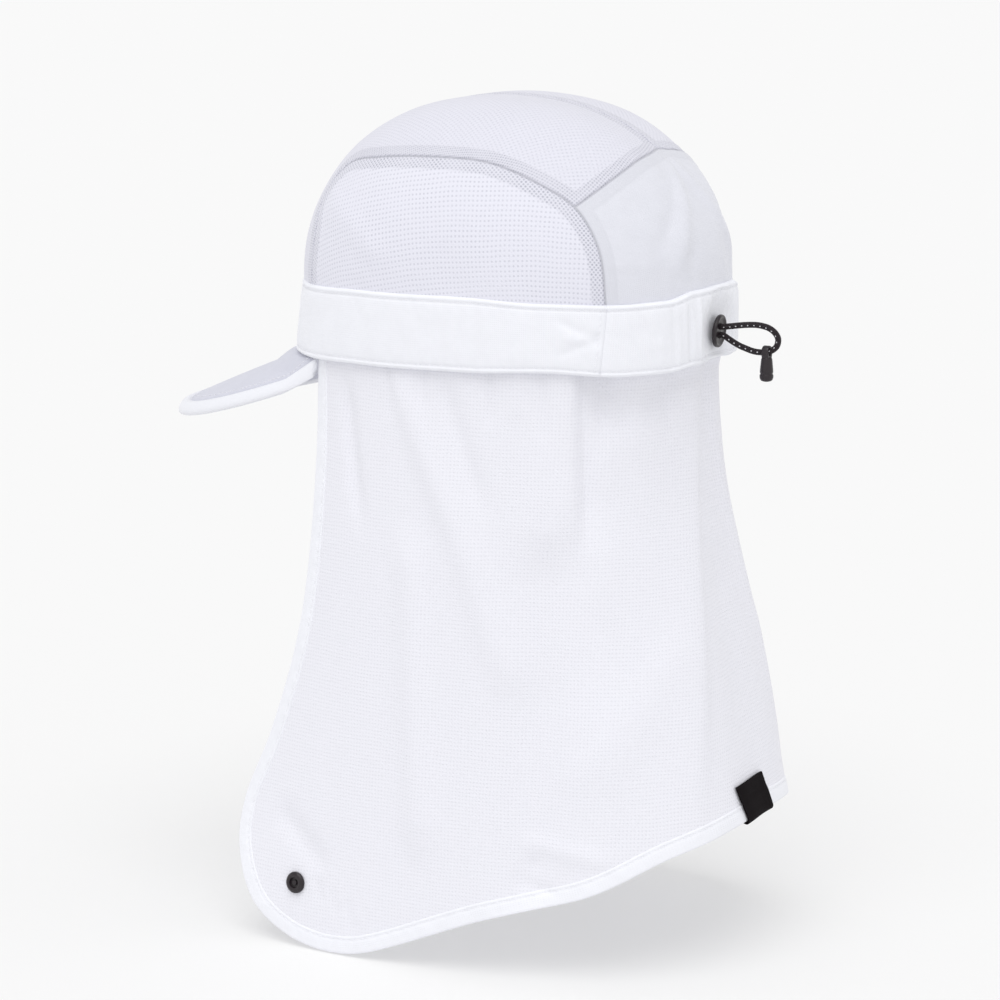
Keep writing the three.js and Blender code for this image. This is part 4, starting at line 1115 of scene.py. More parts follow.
def visor_sheet():
    """Points of the visor's middle surface, column by column, and their distance in from the edge."""
    turn = np.radians(VISOR["half_root"]) * np.linspace(-1, 1, VISOR_COLUMNS + 1)
    root = visor_root(turn, VISOR["root_inset"])[:, None]
    plan = mix(root, visor_outline()[:, None], VISOR_SHARES[None, :, None])
    x, y = plan[..., 0], plan[..., 1]
    forward = -VISOR_FRONT - y
    droop = VISOR["droop"] * forward + VISOR["curl"] * np.maximum(forward, 0) ** 2 / VISOR["curl_reach"]
    drooped = VISOR["level"] - droop - VISOR["arch"] * (x / VISOR_END[0]) ** 2
    root_level = band_edge(np.degrees(np.arctan2(x, -y)), BAND_LOWER) - VISOR["root_gap"]
    in_front = np.clip((VISOR_END[1] - y) / VISOR["end_reach"], 0, 1)
    settled = mix(VISOR_SHARES, smooth(VISOR_SHARES / VISOR["settle"]), in_front)
    level = mix(root_level, drooped + VISOR["end_lift"] * (1 - in_front) ** 2, settled)
    points = together(x, y, level)
    return points, distance_to(points, [points[:, -1]])


def rim_profile(edge):
    """Height of the visor's top by distance from its edge: a rolled rim, a crease and the plate."""
    lift = RIM["lift"] * bell(edge, RIM["round"], RIM["lift_width"])
    roll = lift - 0.5 * VISOR["rim"] * rounded(edge, RIM["round"])
    return roll - RIM["crease"] * bell(edge, VISOR["rim_width"] + RIM["crease_beyond"], RIM["crease_width"])


def there_and_back(there, back):
    """Two grids joined into rings, the second one backwards, without their common edge twice."""
    return np.concatenate([there, back[:, ::-1][:, 1:]], axis=1)


def visor_piece(name):
    """Padded visor with a rolled rim."""
    middle, edge = visor_sheet()
    top = middle + UP * (rim_profile(edge) - RIM["sunk"] * smooth(edge / RIM["sunk_by"]))[..., None]
    thick = mix(VISOR["rim"], VISOR["plate"], smooth((edge - RIM["thin_from"]) / RIM["thin_over"]))
    bottom = middle + UP * (0.5 * VISOR["rim"] * rounded(edge, RIM["round"]) - thick)[..., None]
    plan = there_and_back(middle, middle)[..., :2]
    return loft(name, there_and_back(top, bottom), plan, {"edge": there_and_back(edge, edge)})


# Cape.
def cape_smooth(around, level):
    """Points of the cape before its folds."""
    around, level = np.broadcast_arrays(np.asarray(around, float), np.asarray(level, float))
    hand = np.where(around < 0, -1.0, 1.0)
    reach = np.abs(around)
    down = np.maximum(0, -level)
    tuck = CAPE["rear_tuck"] * bell(level, CAPE["top"], CAPE["tuck_reach"])
    hinge = CAPE["flare_blend"] * np.logaddexp(0, (down - CAPE["flare_from"]) / CAPE["flare_blend"])
    side = CAPE["side"] + CAPE["side_flare"] * down
    rear = CAPE["rear"] + tuck + CAPE["rear_flare"] * hinge
    curl = 1 - CAPE["front_curl"] * np.clip(down / CAPE["straight_by"], 0, 1)
    angle = HALF_TURN - 90 * np.minimum(reach, 1)
    behind = polar(hand * angle, outline_radius(angle, rear, rear, side, HEAD["boxiness"]), level)
    forward = np.maximum(reach - 1, 0) * CAPE["forward_step"]
    bend = curl * (forward / CAPE["front"]) ** HEAD["boxiness"]
    x = side * np.maximum(0.05, 1 - bend) ** (1 / HEAD["boxiness"])
    ahead = together(hand * x, -forward, level)
    return np.where((reach <= 1)[..., None], behind, ahead)


def fold_rise(around, level):
    """Outward rise of the folds at a place on the cape."""
    rise = np.zeros(np.broadcast_shapes(np.shape(around), np.shape(level)))
    for centre, lean, height, width, start, end in CAPE_FOLDS:
        middle = centre + lean * np.maximum(0, -level) / 100
        shown = smooth((start - level) / FOLD_FADE) * smooth((level - end) / FOLD_FADE)
        rise = rise + height * bell(np.abs(around), middle, width) * shown
    return rise + crease_rise(np.abs(around), level, CAPE_CREASES, CAPE_AROUND_MM)


def cape_point(around, level, out=0.0):
    """Points of the cape with its folds, moved out along the section's normal."""
    step = 0.01
    tangent = cape_smooth(around + step, level) - cape_smooth(around - step, level)
    normal = unit(np.stack([tangent[..., 1], -tangent[..., 0], np.zeros(tangent.shape[:-1])], axis=-1))
    point = cape_smooth(around, level)
    facing = normal[..., 0] * point[..., 0] + normal[..., 1] * np.maximum(point[..., 1], 0)
    normal = np.where(facing[..., None] < 0, -normal, normal)
    return point + normal * (fold_rise(around, level) + out)[..., None]


def edge_curve():
    """The cape's whole free edge, from the left temple round to the right one."""
    rows = CAPE_EDGE + [(-around, level) for around, level in reversed(CAPE_EDGE[:-1])]
    return smooth_curve([(around * CAPE["forward_step"], level) for around, level in rows])


EDGE = edge_curve()


def edge_place(share, inset):
    """Place on the cape at shares of its free edge, a distance inward from it, as around and level."""
    share, inset = np.broadcast_arrays(np.asarray(share, float), np.asarray(inset, float))
    at = along_curve(EDGE, np.clip(share, 0, 1))
    after, before = (along_curve(EDGE, np.clip(share + step, 0, 1)) for step in (0.0005, -0.0005))
    run = unit(after - before)
    around, level = at[..., 0] / CAPE["forward_step"], at[..., 1]
    step = 0.01
    point = cape_point(around, level)
    per_around = (cape_point(around + step, level) - point) / step
    per_level = (cape_point(around, level + step) - point) / step
    tangent = per_around * run[..., :1] / CAPE["forward_step"] + per_level * run[..., 1:]
    inward = unit(np.cross(tangent, unit(np.cross(per_around, per_level))))
    pairs = (per_around, per_around), (per_around, per_level), (per_level, per_level)
    aa, al, ll = ((first * second).sum(-1) for first, second in pairs)
    ia, il = (inward * per_around).sum(-1), (inward * per_level).sum(-1)
    scale = inset / (aa * ll - al * al)
    return around + scale * (ia * ll - il * al), level + scale * (il * aa - ia * al)


def corner_share():
    """Share of the free edge at the middle of the front corner."""
    shares = np.linspace(0, 0.4, 401)
    at = along_curve(EDGE, shares)
    return shares[np.argmax(at[:, 0] - at[:, 1])]


CORNER = corner_share()


def cape_places(across, down):
    """Grid of places inside the cape panel, from the left edge to the right and from the top down."""
    inset = CAPE["hem_width"] - CAPE["under_hem"]
    left, right = edge_place(CORNER * down, inset), edge_place(1 - CORNER * down, inset)
    hem = edge_place(mix(CORNER, 1 - CORNER, across), inset)
    top = mix(left[0][0], right[0][0], across), np.full(across.shape, CAPE["top"])
    u, v = across[None, :], down[:, None]
    grids = []
    for index in range(2):
        upper, lower, first, last = top[index], hem[index], left[index][:, None], right[index][:, None]
        straight = mix(upper[None], lower[None], v) + mix(first, last, u)
        grids.append(straight - mix(mix(upper[0], upper[-1], u), mix(lower[0], lower[-1], u), v))
    return grids[0], np.minimum(grids[1], CAPE["top"])


# Levels and places around at which the cape's cloth coordinates are worked out.
CUT_LEVELS = np.linspace(8, -262, 28)
CUT_PLACES = np.linspace(0, 1.95, 300)


def cape_cut(around, level):
    """Cloth coordinates on the cape in millimetres: round from the side, and down."""
    runs = [running_length(cape_smooth(CUT_PLACES, height)) for height in CUT_LEVELS]
    table = np.array([run - np.interp(1.0, CUT_PLACES, run) for run in runs])
    row = (CUT_LEVELS[0] - level) / (CUT_LEVELS[0] - CUT_LEVELS[1])
    row = np.clip(row, 0, len(CUT_LEVELS) - 1.001)
    column = np.clip(np.abs(around) / CUT_PLACES[1], 0, len(CUT_PLACES) - 1.001)
    r, c = row.astype(int), column.astype(int)
    upper = mix(table[r, c], table[r, c + 1], column - c)
    lower = mix(table[r + 1, c], table[r + 1, c + 1], column - c)
    return together(mix(upper, lower, row - r), level)


# Seam mark of cloth that has no seam near it, in millimetres.
FAR_FROM_SEAMS = 30.0


def cape_piece(name):
    """The hanging sheet of the cape, its edges tucked into the hem."""
    across, down = np.linspace(0, 1, 221), np.linspace(0, 1, 151)
    around, level = cape_places(across, down)
    outer, inner = cape_point(around, level), cape_point(around, level, -CAPE["wall"])
    marks = {"seam": np.full(around.shape, FAR_FROM_SEAMS)}
    return cloth_shell(name, outer, inner, cape_cut(around, level), marks)


HEM_PROUD = (CAPE["hem_wall"] - CAPE["solid_wall"]) / 2


def hem_profile():
    """Section of the hem as insets from the free edge and distances out, a closed loop."""
    insets = CAPE["hem_width"] * close_borders(22, 0.7)
    half = CAPE["hem_wall"] / 2
    rounding = half * (1 - rounded(np.minimum(insets, CAPE["hem_width"] - insets), half))
    groove = HEM["groove"] * bell(insets, CAPE["hem_width"] - HEM["groove_inset"], HEM["groove_width"])
    swell = HEM["swell"] * bell(insets, HEM["swell_at"], HEM["swell_width"])
    middle = HEM_PROUD - half
    outer = together(insets, middle + rounding - groove + swell)
    return np.concatenate([outer, together(insets, middle - rounding)[::-1][1:-1]])


def hem_piece(name):
    """Turned border round the cape's free edge."""
    inset, out = hem_profile().T[:, None]
    shares = np.linspace(0, 1, 801)[:, None]
    run = shares * EDGE[1][-1]
    around, level = edge_place(shares, inset)
    beside_stitches = bell(inset, CAPE["hem_width"] - HEM["pucker_inset"], HEM["pucker_width"])
    out = out + HEM["pucker"] * puckers(run, 0.9, 2, 0.06) * beside_stitches
    return loft(name, cape_point(around, np.minimum(level, CAPE["top"]), out), together(run, inset))


# Trim.
def cape_normal(around, level):
    """Outward normal of the cape at a place."""
    across = cape_point(around + 0.02, level) - cape_point(around - 0.02, level)
    up = cape_point(around, level + 1.0) - cape_point(around, level - 1.0)
    normal = unit(np.cross(across, up))
    return normal if normal[0] * around > 0 else -normal


def snap_profile():
    """Half of a press stud: a rounded cap ring, a recess and its spring post."""
    radius, height, ring, recess, post = (SNAP[key] for key in ("radius", "height", "ring", "recess", "post"))
    return [
        (0, 0), (radius - 0.15, 0), (radius, 0.15), (radius, height * 0.42), (radius - 0.18, height * 0.62),
        (radius - 0.6, height * 0.82), (ring + 0.25, height * 0.97), (ring, height),
        (recess + 0.25, height * 0.99),
        (recess, height * 0.9), (recess - 0.16, height * 0.4), (recess - 0.3, height * 0.33),
        (post + 0.1, height * 0.33), (post, height * 0.4), (post, height * 0.72), (post * 0.8, height * 0.84),
        (0, height * 0.88),
    ]


def label_path():
    """Rise above the hem's edge and distance out, down the outer face, round the edge and up inside."""
    outer = HEM_PROUD + LABEL["gap"]
    inner = outer - CAPE["hem_wall"] - 2 * LABEL["gap"]
    middle, radius, fold = (outer + inner) / 2, (outer - inner) / 2, LABEL["fold_from"]
    rise = np.linspace(LABEL["drop"], fold, 30)
    front = together(rise, outer - LABEL["ease"] * smooth((rise - CAPE["hem_width"]) / LABEL["ease_over"]))
    turn = np.linspace(0, np.pi, 13)[1:-1]
    bend = together(fold - (fold + LABEL["gap"]) * np.sin(turn), middle + radius * np.cos(turn))
    return np.concatenate([front, bend, together(np.linspace(fold, LABEL["under"], 12), inner)])


def label_piece(name):
    """Blank woven tab folded over the hem, its lower end slanting to the rear."""
    before, after = (cape_point(*edge_place(0.5 + step, 0.0)) for step in (-0.005, 0.005))
    per_share = np.linalg.norm(after - before) / 0.01
    path = label_path()
    tangent = unit(np.gradient(path, axis=0))
    away = together(tangent[:, 1], -tangent[:, 0])
    inside_fold = [4.0, path[:, 1].mean()]
    away = np.where(((path - inside_fold) * away).sum(-1, keepdims=True) < 0, -away, away)
    along = LABEL["offset"] + LABEL["width"] * (close_borders(26, 0.5) - 0.5)
    leaning = along[None, :] - LABEL["slant"] * (1 - path[:, :1] / LABEL["drop"])
    sheets = []
    for thick in (LABEL["wall"], 0.0):
        places = path + away * thick
        around, level = edge_place(0.5 - leaning / per_share, places[:, :1])
        sheets.append(cape_point(around, level, np.broadcast_to(places[:, 1:], around.shape)))
    return cloth_shell(name, *sheets, together(along[None, :], running_length(path)[:, None]))


def disc_piece(name):
    """Dished disc with two holes for the cord."""
    radius, wall, rim, dish = (DISC[key] for key in ("radius", "wall", "rim", "dish"))
    profile = [
        (0, 0), (radius - 0.5, 0), (radius - 0.15, 0.15), (radius, 0.5), (radius, wall - 0.55),
        (radius - 0.18, wall - 0.18), (radius - 0.5, wall), (radius - rim, wall),
        (radius - 1.3 * rim, wall - 0.2 * dish),
        (radius - 2 * rim, wall - 0.9 * dish), (radius - 2.4 * rim, wall - dish), (2.5, wall - 0.85 * dish),
        (0, wall - 0.6 * dish),
    ]
    axis = Vector((DISC["turn"], 1, -DISC["lean"])).normalized()
    disc = turned(name, profile, 64, (0, DISC["back"], DISC["level"]), axis)
    for hand in (1, -1):
        place = (0, DISC["back"] - 2, DISC["level"] + hand * DISC["hole_spread"])
        through = [(0, 0), (DISC["hole"], 0), (DISC["hole"], 8), (0, 8)]
        tube = turned("cord_hole", through, 28, place, (0, 1, 0))
        cut = disc.modifiers.new("cord_hole", "BOOLEAN")
        cut.operation, cut.solver, cut.object = "DIFFERENCE", "EXACT", tube
        finish_mesh(disc)
        bpy.data.objects.remove(tube)
    disc.data.set_sharp_from_angle(angle=math.radians(40))
    return disc


def cord_line():
    """Centreline of the cord, in millimetres."""
    return along_curve(smooth_curve(CORD_ROUTE), np.linspace(0, 1, CORD["steps"] + 1))


def cord_piece(name):
    """Elastic cord as a tube along its route."""
    line = cord_line()
    tangent = unit(np.gradient(line, axis=0))
    side = unit(np.array([1.0, 0, 0]) - tangent * tangent[:, :1])
    normal = np.cross(tangent, side)
    turn = np.linspace(0, 2 * np.pi, CORD["sides"], endpoint=False)[None, :, None]
    radius = CORD["diameter"] / 2
    rings = line[:, None] + radius * (np.cos(turn) * side[:, None] + np.sin(turn) * normal[:, None])
    return loft(name, rings, together(turn[..., 0] * radius, running_length(line)[:, None]))


def pull_piece(name):
    """Cord pull: a flat eye above a grooved round body."""
    body = turned(name + "_body", PULL_BODY, 32, (0, PULL["at"], 0), UP_VECTOR, sharp=55)
    return join(name, body, eye_piece(name + "_eye"))


def eye_piece(name):
    """Flat eye with a rounded rim and a hole across it."""
    sides, radius, foot = PULL["sides"], PULL["eye_radius"], PULL["eye"] - PULL["eye_foot"]
    turn = np.linspace(0, 2 * np.pi, sides, endpoint=False)
    outline = together(radius * np.cos(turn), np.maximum(radius * np.sin(turn), -foot))
    below = np.sin(turn) < -0.15
    shoulders = np.pi * np.array([1.05, 1.3, 1.7, 1.95])
    outline[below, 0] = np.interp(turn[below], shoulders[[0, 3]], [-radius, radius])
    outline[below, 1] = np.interp(turn[below], shoulders, [-0.5, -foot, -foot, -0.5])
    bore = PULL["hole"] * together(np.cos(turn), np.sin(turn))
    half = PULL["eye_wall"] / 2
    section = [(share, drop - half) for share, drop in EYE_SECTION]
    section += [(share, half - drop) for share, drop in reversed(EYE_SECTION)]
    plans = [(mix(bore, outline, share), depth) for share, depth in section]
    rings = [together(plan[:, 0], PULL["at"] + depth, plan[:, 1] + PULL["eye"]) for plan, depth in plans]
    last = (len(section) - 1) * sides
    faces = grid_faces(len(section), sides, wrap_columns=True)
    faces += [(last + side, last + (side + 1) % sides, (side + 1) % sides, side) for side in range(sides)]
    return add_mesh(name, rings, faces, sharp=55)


def join(name, *parts):
    """One object from several, each already in place."""
    with bpy.context.temp_override(active_object=parts[0], selected_editable_objects=list(parts)):
        bpy.ops.object.join()
    parts[0].name = name
    parts[0].data.name = name
    return parts[0]


# Stitching.
def stitch_tree():
    """Geometry Nodes that lay short threads along lines."""
    tree = bpy.data.node_groups.new("Stitch Rows", "GeometryNodeTree")
    tree.interface.new_socket("Geometry", in_out="INPUT", socket_type="NodeSocketGeometry")
    sizes = {"Stitch Pitch": 0.0027, "Stitch Length": 0.0021, "Thread Width": 0.00042, "Thread Height": 0.00034}
    for label, value in sizes.items():
        socket = tree.interface.new_socket(label, in_out="INPUT", socket_type="NodeSocketFloat")
        socket.default_value = value
        socket.subtype = "DISTANCE"
    tree.interface.new_socket("Thread", in_out="INPUT", socket_type="NodeSocketMaterial")
    tree.interface.new_socket("Geometry", in_out="OUTPUT", socket_type="NodeSocketGeometry")
    given = add_node(tree, "NodeGroupInput")
    lines = add_node(tree, "GeometryNodeMeshToCurve", {"Mesh": given.outputs["Geometry"]})
    spaced = add_node(tree, "GeometryNodeResampleCurve", {
        "Curve": lines.outputs["Curve"], "Length": given.outputs["Stitch Pitch"],
    }, mode="LENGTH")
    ball = add_node(tree, "GeometryNodeMeshUVSphere", {"Segments": 8, "Rings": 5, "Radius": 0.5})
    soft = add_node(tree, "GeometryNodeSetShadeSmooth", {"Geometry": ball.outputs["Mesh"]})
    towards = add_node(tree, "GeometryNodeInputTangent")
    turn = add_node(tree, "FunctionNodeAlignRotationToVector", {"Vector": towards.outputs["Tangent"]}, axis="X")
    size = add_node(tree, "ShaderNodeCombineXYZ", {
        "X": given.outputs["Stitch Length"], "Y": given.outputs["Thread Width"],
        "Z": given.outputs["Thread Height"],
    })
    laid = add_node(tree, "GeometryNodeInstanceOnPoints", {
        "Points": spaced.outputs["Curve"], "Instance": soft.outputs["Geometry"],
        "Rotation": turn.outputs["Rotation"], "Scale": size.outputs["Vector"],
    })
    real = add_node(tree, "GeometryNodeRealizeInstances", {"Geometry": laid.outputs["Instances"]})
    finish = add_node(tree, "GeometryNodeSetMaterial", {
        "Geometry": real.outputs["Geometry"], "Material": given.outputs["Thread"],
    })
    add_node(tree, "NodeGroupOutput", {"Geometry": finish.outputs["Geometry"]})
    return tree


def stitch_rows(name, lines, settings, material):
    """Rows of stitches along polylines in millimetres, as one plain mesh."""
    points, edges = [], []
    for line in lines:
        start = len(points)
        points += (np.asarray(line) * MM).tolist()
        edges += [(start + index, start + index + 1) for index in range(len(line) - 1)]
    mesh = bpy.data.meshes.new(name)
    mesh.from_pydata(points, edges, [])
    piece = link_object(name, mesh)
    tree = bpy.data.node_groups.get("Stitch Rows") or stitch_tree()
    rows = piece.modifiers.new("Stitch Rows", "NODES")
    rows.node_group = tree
    values = {
        "Stitch Pitch": settings.stitch_pitch, "Stitch Length": settings.stitch_pitch * 0.78,
        "Thread Width": settings.thread_width, "Thread Height": settings.thread_width * 0.8, "Thread": material,
    }
    for item in tree.interface.items_tree:
        if item.item_type == "SOCKET" and item.in_out == "INPUT" and item.name in values:
            rows[item.identifier] = values[item.name]
    return finish_mesh(piece)


def band_stitch_lines():
    """Topstitching inside both edges of the band, all round, and upright beside its seams."""
    inset, seam = BAND["stitch_inset"] / BAND["width"], BAND["seam_angle"]
    rows = []
    for start, end in ((-seam, seam), (seam, 2 * HALF_TURN - seam)):
        angles = np.linspace(start + SEAM_THREADS["gap"], end - SEAM_THREADS["gap"], SEAM_THREADS["points"])
        rows += [(signed_angle(angles), share) for share in (inset, 1 - inset)]
    upright = np.linspace(*SEAM_THREADS["ends"], SEAM_THREADS["upright_points"])
    rows += [(np.full(upright.shape, hand * (seam - SEAM_THREADS["beside"])), upright) for hand in (1, -1)]
    lift = THREAD_LIFT["band"]
    return [band_point(slanted(turn, share), share, band_rise(turn, share) + lift) for turn, share in rows]


def hem_stitch_lines():
    """Topstitching along the hem's inner side."""
    shares = np.linspace(*HEM_THREADS["ends"], HEM_THREADS["points"])
    around, level = edge_place(shares, CAPE["hem_width"] - HEM["groove_inset"])
    out = np.full(shares.shape, HEM_PROUD - HEM["groove"] + THREAD_LIFT["hem"])
    return [cape_point(around, np.minimum(level, CAPE["top"]), out)]


def visor_stitch_lines():
    """Two rows of stitching inside the visor's rim."""
    middle, edge = visor_sheet()
    rows = np.arange(len(VISOR_SHARES))
    lines = []
    for gap in RIM_THREADS:
        inset = VISOR["rim_width"] + gap
        lift = float(rim_profile(inset)) - RIM["sunk"] + THREAD_LIFT["visor"]
        line = []
        for column in range(6, VISOR_COLUMNS - 5):
            at = np.interp(inset, edge[column][::-1], rows[::-1])
            low = int(at)
            point = mix(middle[column, low], middle[column, min(low + 1, rows[-1])], at - low)
            line.append(point + UP * lift)
        lines.append(np.array(line))
    return lines


# Settings.
def colour_setting(label, description, code):
    """Colour that a user can change, its default an sRGB hex value."""
    return bpy.props.FloatVectorProperty(
        name=label, description=description, size=4, subtype="COLOR", default=linear(code), min=0, max=1)


class CapCloth(bpy.types.PropertyGroup):
    """Colours of the cap's cloths."""

    crown: colour_setting("Crown Knit", "Colour of the crown's top panels", "#DEDEE8")
    side: colour_setting("Side Mesh", "Colour of the perforated side panels", "#E1E1EB")
    woven: colour_setting("Woven Cloth", "Colour of the band and the hem", "#ECEDF3")
    back: colour_setting("Back Cloth", "Colour of the back panel", "#DCDDE5")
    doubled: colour_setting("Doubled Cloth", "Colour of the back panel over a seam allowance", "#D6D7DF")
    cape: colour_setting("Cape Knit", "Colour of the cape", "#E7E7EE")
    # Painted shade: the visor's plate is given a darker colour than its rim, for the shade it lies in.
    visor: colour_setting("Visor Cloth", "Colour of the visor's plate", "#CDCEDA")
    # Painted light: the rolled rim is given a lighter colour than the plate, for the light it catches.
    rim: colour_setting("Visor Rim", "Colour of the visor's rolled rim", "#E6E7ED")
    # Painted shade: the tone of the cap's shaded inside, painted into the dots of every perforated knit.
    hole: colour_setting("Hole", "Tone seen in the perforations", "#6E7286")
    thread: colour_setting("Thread", "Colour of the topstitching", "#EDEDF2")


class CapTrim(bpy.types.PropertyGroup):
    """Colours and sizes of the trim and the stitching."""

    plastic: colour_setting("Plastic", "Colour of the disc, the pull and the snaps", "#1F171C")
    label: colour_setting("Tab", "Colour of the blank tab", "#0B0709")
    cord: colour_setting("Cord", "Colour of the elastic cord", "#221A1F")
    fleck: colour_setting("Cord Fleck", "Colour of the yarn that flecks the cord", "#E4E4E8")
    stitch_pitch: bpy.props.FloatProperty(
        name="Stitch Pitch", description="Distance from stitch to stitch", default=0.0027,
        min=0.0015, max=0.006, unit="LENGTH", precision=4)
    thread_width: bpy.props.FloatProperty(
        name="Thread Width", description="Width of one thread", default=0.00042, min=0.0002, max=0.001,
        unit="LENGTH", precision=5)


class CapStage(bpy.types.PropertyGroup):
    """Floor and light of the studio."""

    floor: colour_setting("Floor", "Colour of the floor", "#BCBCBC")
    floor_glow: bpy.props.FloatProperty(
        name="Floor Glow", description="Light that the floor gives from below", default=0.402, min=0, max=2)
    walls: bpy.props.FloatProperty(
        name="Wall Light", description="Brightness of the room at the horizon", default=1.15, min=0, max=4)
    ceiling: bpy.props.FloatProperty(
        name="Ceiling Light", description="Brightness of the room overhead", default=0.4, min=0, max=4)
    key: bpy.props.FloatProperty(
        name="Key Light", description="Strength of the soft light", default=1.5, min=0, max=10)
    key_azimuth: bpy.props.FloatProperty(
        name="Key Azimuth", description="Direction of the key light, from the front towards the wearer's left",
        default=math.radians(108), subtype="ANGLE")
    key_elevation: bpy.props.FloatProperty(
        name="Key Elevation", description="Height of the key light over the floor", default=math.radians(66),
        subtype="ANGLE")
    key_softness: bpy.props.FloatProperty(
        name="Key Softness", description="Apparent size of the key light", default=math.radians(50),
        subtype="ANGLE")


def shared_material(name, maker, *values, **settings):
    """A material, made the first time that it is asked for."""
    return bpy.data.materials.get(name) or maker(name, *values, **settings)


# Stage.
def add_floor(settings):
    """Adds the floor just under the object."""
    size, level = FLOOR["half"], CAD_BOX[0][2] - FLOOR["under"]
    corners = [(-size, -size, level), (size, -size, level), (size, size, level), (-size, size, level)]
    mesh = bpy.data.meshes.new("floor")
    mesh.from_pydata(corners, [], [(0, 1, 2, 3)])
    mesh.materials.append(studio_floor("Opal Acrylic Floor", tuple(settings.floor), settings.floor_glow))
    link_object("floor", mesh)


def add_light(settings):
    """Adds the room, brighter round its sides than overhead, and one large soft light."""
    world = bpy.data.worlds.new("studio")
    world.use_nodes = True
    tree = world.node_tree
    place = add_node(tree, "ShaderNodeTexCoord")
    parts = add_node(tree, "ShaderNodeSeparateXYZ", {"Vector": place.outputs["Generated"]})
    rise = add_node(tree, "ShaderNodeMapRange", {
        "Value": parts.outputs["Z"], "To Min": settings.walls, "To Max": settings.ceiling,
    })
    tree.links.new(rise.outputs["Result"], tree.nodes["Background"].inputs["Strength"])
    tree.nodes["Background"].inputs["Color"].default_value = (1, 1, 1, 1)
    bpy.context.scene.world = world
    towards = bearing(settings.key_azimuth, settings.key_elevation)
    key = link_object("key_light", bpy.data.lights.new("key_light", "SUN"))
    key.data.energy = settings.key
    key.data.angle = settings.key_softness
    key.rotation_euler = towards.to_track_quat("Z", "Y").to_euler()
    key.location = towards * 2


# Operators.
class CAP_OT_stage(bpy.types.Operator):
    """Adds the camera, the floor and the studio light"""

    bl_idname = "cap.stage"
    bl_label = "Stage"

    def execute(self, context):
        back = bearing(math.radians(VIEW["azimuth"]), math.radians(VIEW["elevation"]))
        camera = link_object("camera", bpy.data.cameras.new("camera"))
        camera.location = (Vector(VIEW["target"]) + back * VIEW["distance"]) * MM
        camera.rotation_euler = back.to_track_quat("Z", "Y").to_euler()
        camera.data.lens = VIEW["lens"]
        camera.data.sensor_width = VIEW["sensor"]
        context.scene.camera = camera
        add_floor(context.scene.cap_stage)
        add_light(context.scene.cap_stage)
        context.scene.view_settings.view_transform = "Standard"
        return {"FINISHED"}


class CAP_OT_cord(bpy.types.Operator):
    """Adds the disc, the elastic cord and its pull"""

    bl_idname = "cap.cord"
    bl_label = "Cord Adjuster"

    def execute(self, context):
        trim = context.scene.cap_trim
        plastic = shared_material("Black Moulded Acetal", moulded_plastic, tuple(trim.plastic))
        dress(disc_piece("adjuster_disc"), "black_plastic", plastic, "cord_disc")
        pull = dress(pull_piece("adjuster_pull"), "black_plastic", plastic, "cord_pull")
        cord = cord_piece("adjuster_cord")
        braid = braided_cord("Braided Elastic Cord", tuple(trim.cord), tuple(trim.fleck))
        dress(cord, "elastic_cord", braid, "cord_loop")
        return {"FINISHED"}


class CAP_OT_crown(bpy.types.Operator):
    """Adds the five cloth panels of the crown"""

    bl_idname = "cap.crown"
    bl_label = "Crown"

    def execute(self, context):
        cloth = context.scene.cap_cloth
        knit = shared_material(
            "Fine Perforated Polyester Knit", perforated_knit, tuple(cloth.crown), tuple(cloth.hole),
            0.14, 0.34, pitch=(1.8, 1.8), hole=0.38, turn=math.radians(38), hatch=0.3)
        mesh = shared_material(
            "Polyester Mesh Knit", perforated_knit, tuple(cloth.side), tuple(cloth.hole), 0.2, 0.44,
            pitch=(1.85, 2.1), hole=0.42, turn=math.radians(-8))
        woven = shared_material(
            "Woven Polyester Back Cloth", plain_weave, tuple(cloth.back),
            beside=("seam", SEAM["allowance"], tuple(cloth.doubled)))
        for hand, mirrored in (("left", False), ("right", True)):
            top = crown_panel(f"crown_top_cloth_{hand}", TOP_BORDERS, 84, 200, running_cut, mirrored)
            dress(top, "crown_knit", knit, f"crown_top_{hand}")
            side = crown_panel(f"side_mesh_{hand}", SIDE_BORDERS, 150, 90, flat_cut, mirrored)
            dress(side, "side_mesh", mesh, f"side_panel_{hand}")
        back = crown_panel("back_cloth", BACK_BORDERS, 150, 70, flat_cut)
        dress(back, "woven_cloth", woven, "back_panel")
        return {"FINISHED"}


class CAP_OT_band(bpy.types.Operator):
    """Adds the folded band and the gathered casing at its rear"""

    bl_idname = "cap.band"
    bl_label = "Band"

    def execute(self, context):
        woven = shared_material("Woven Polyester Band Cloth", plain_weave, tuple(context.scene.cap_cloth.woven))
        seam = BAND["seam_angle"]
        dress(band_strip("band_cloth", -seam, seam, 560), "woven_cloth", woven, "band_front")
        casing = band_strip("casing_cloth", seam, 2 * HALF_TURN - seam, 300)
        dress(casing, "woven_cloth", woven, "band_rear_casing")
        return {"FINISHED"}


class CAP_OT_visor(bpy.types.Operator):
    """Adds the padded visor"""

    bl_idname = "cap.visor"
    bl_label = "Visor"

    def execute(self, context):
        cloth = context.scene.cap_cloth
        # Painted shade on the visor's plate and painted light on its rim, by distance from the edge.
        padded = shared_material(
            "Padded Visor Cloth", plain_weave, tuple(cloth.visor), depth=0.00003,
            beside=("edge", VISOR["rim_width"] + 0.4, tuple(cloth.rim)))
        dress(visor_piece("visor_cloth_piece"), "visor_cloth", padded, "visor")
        return {"FINISHED"}


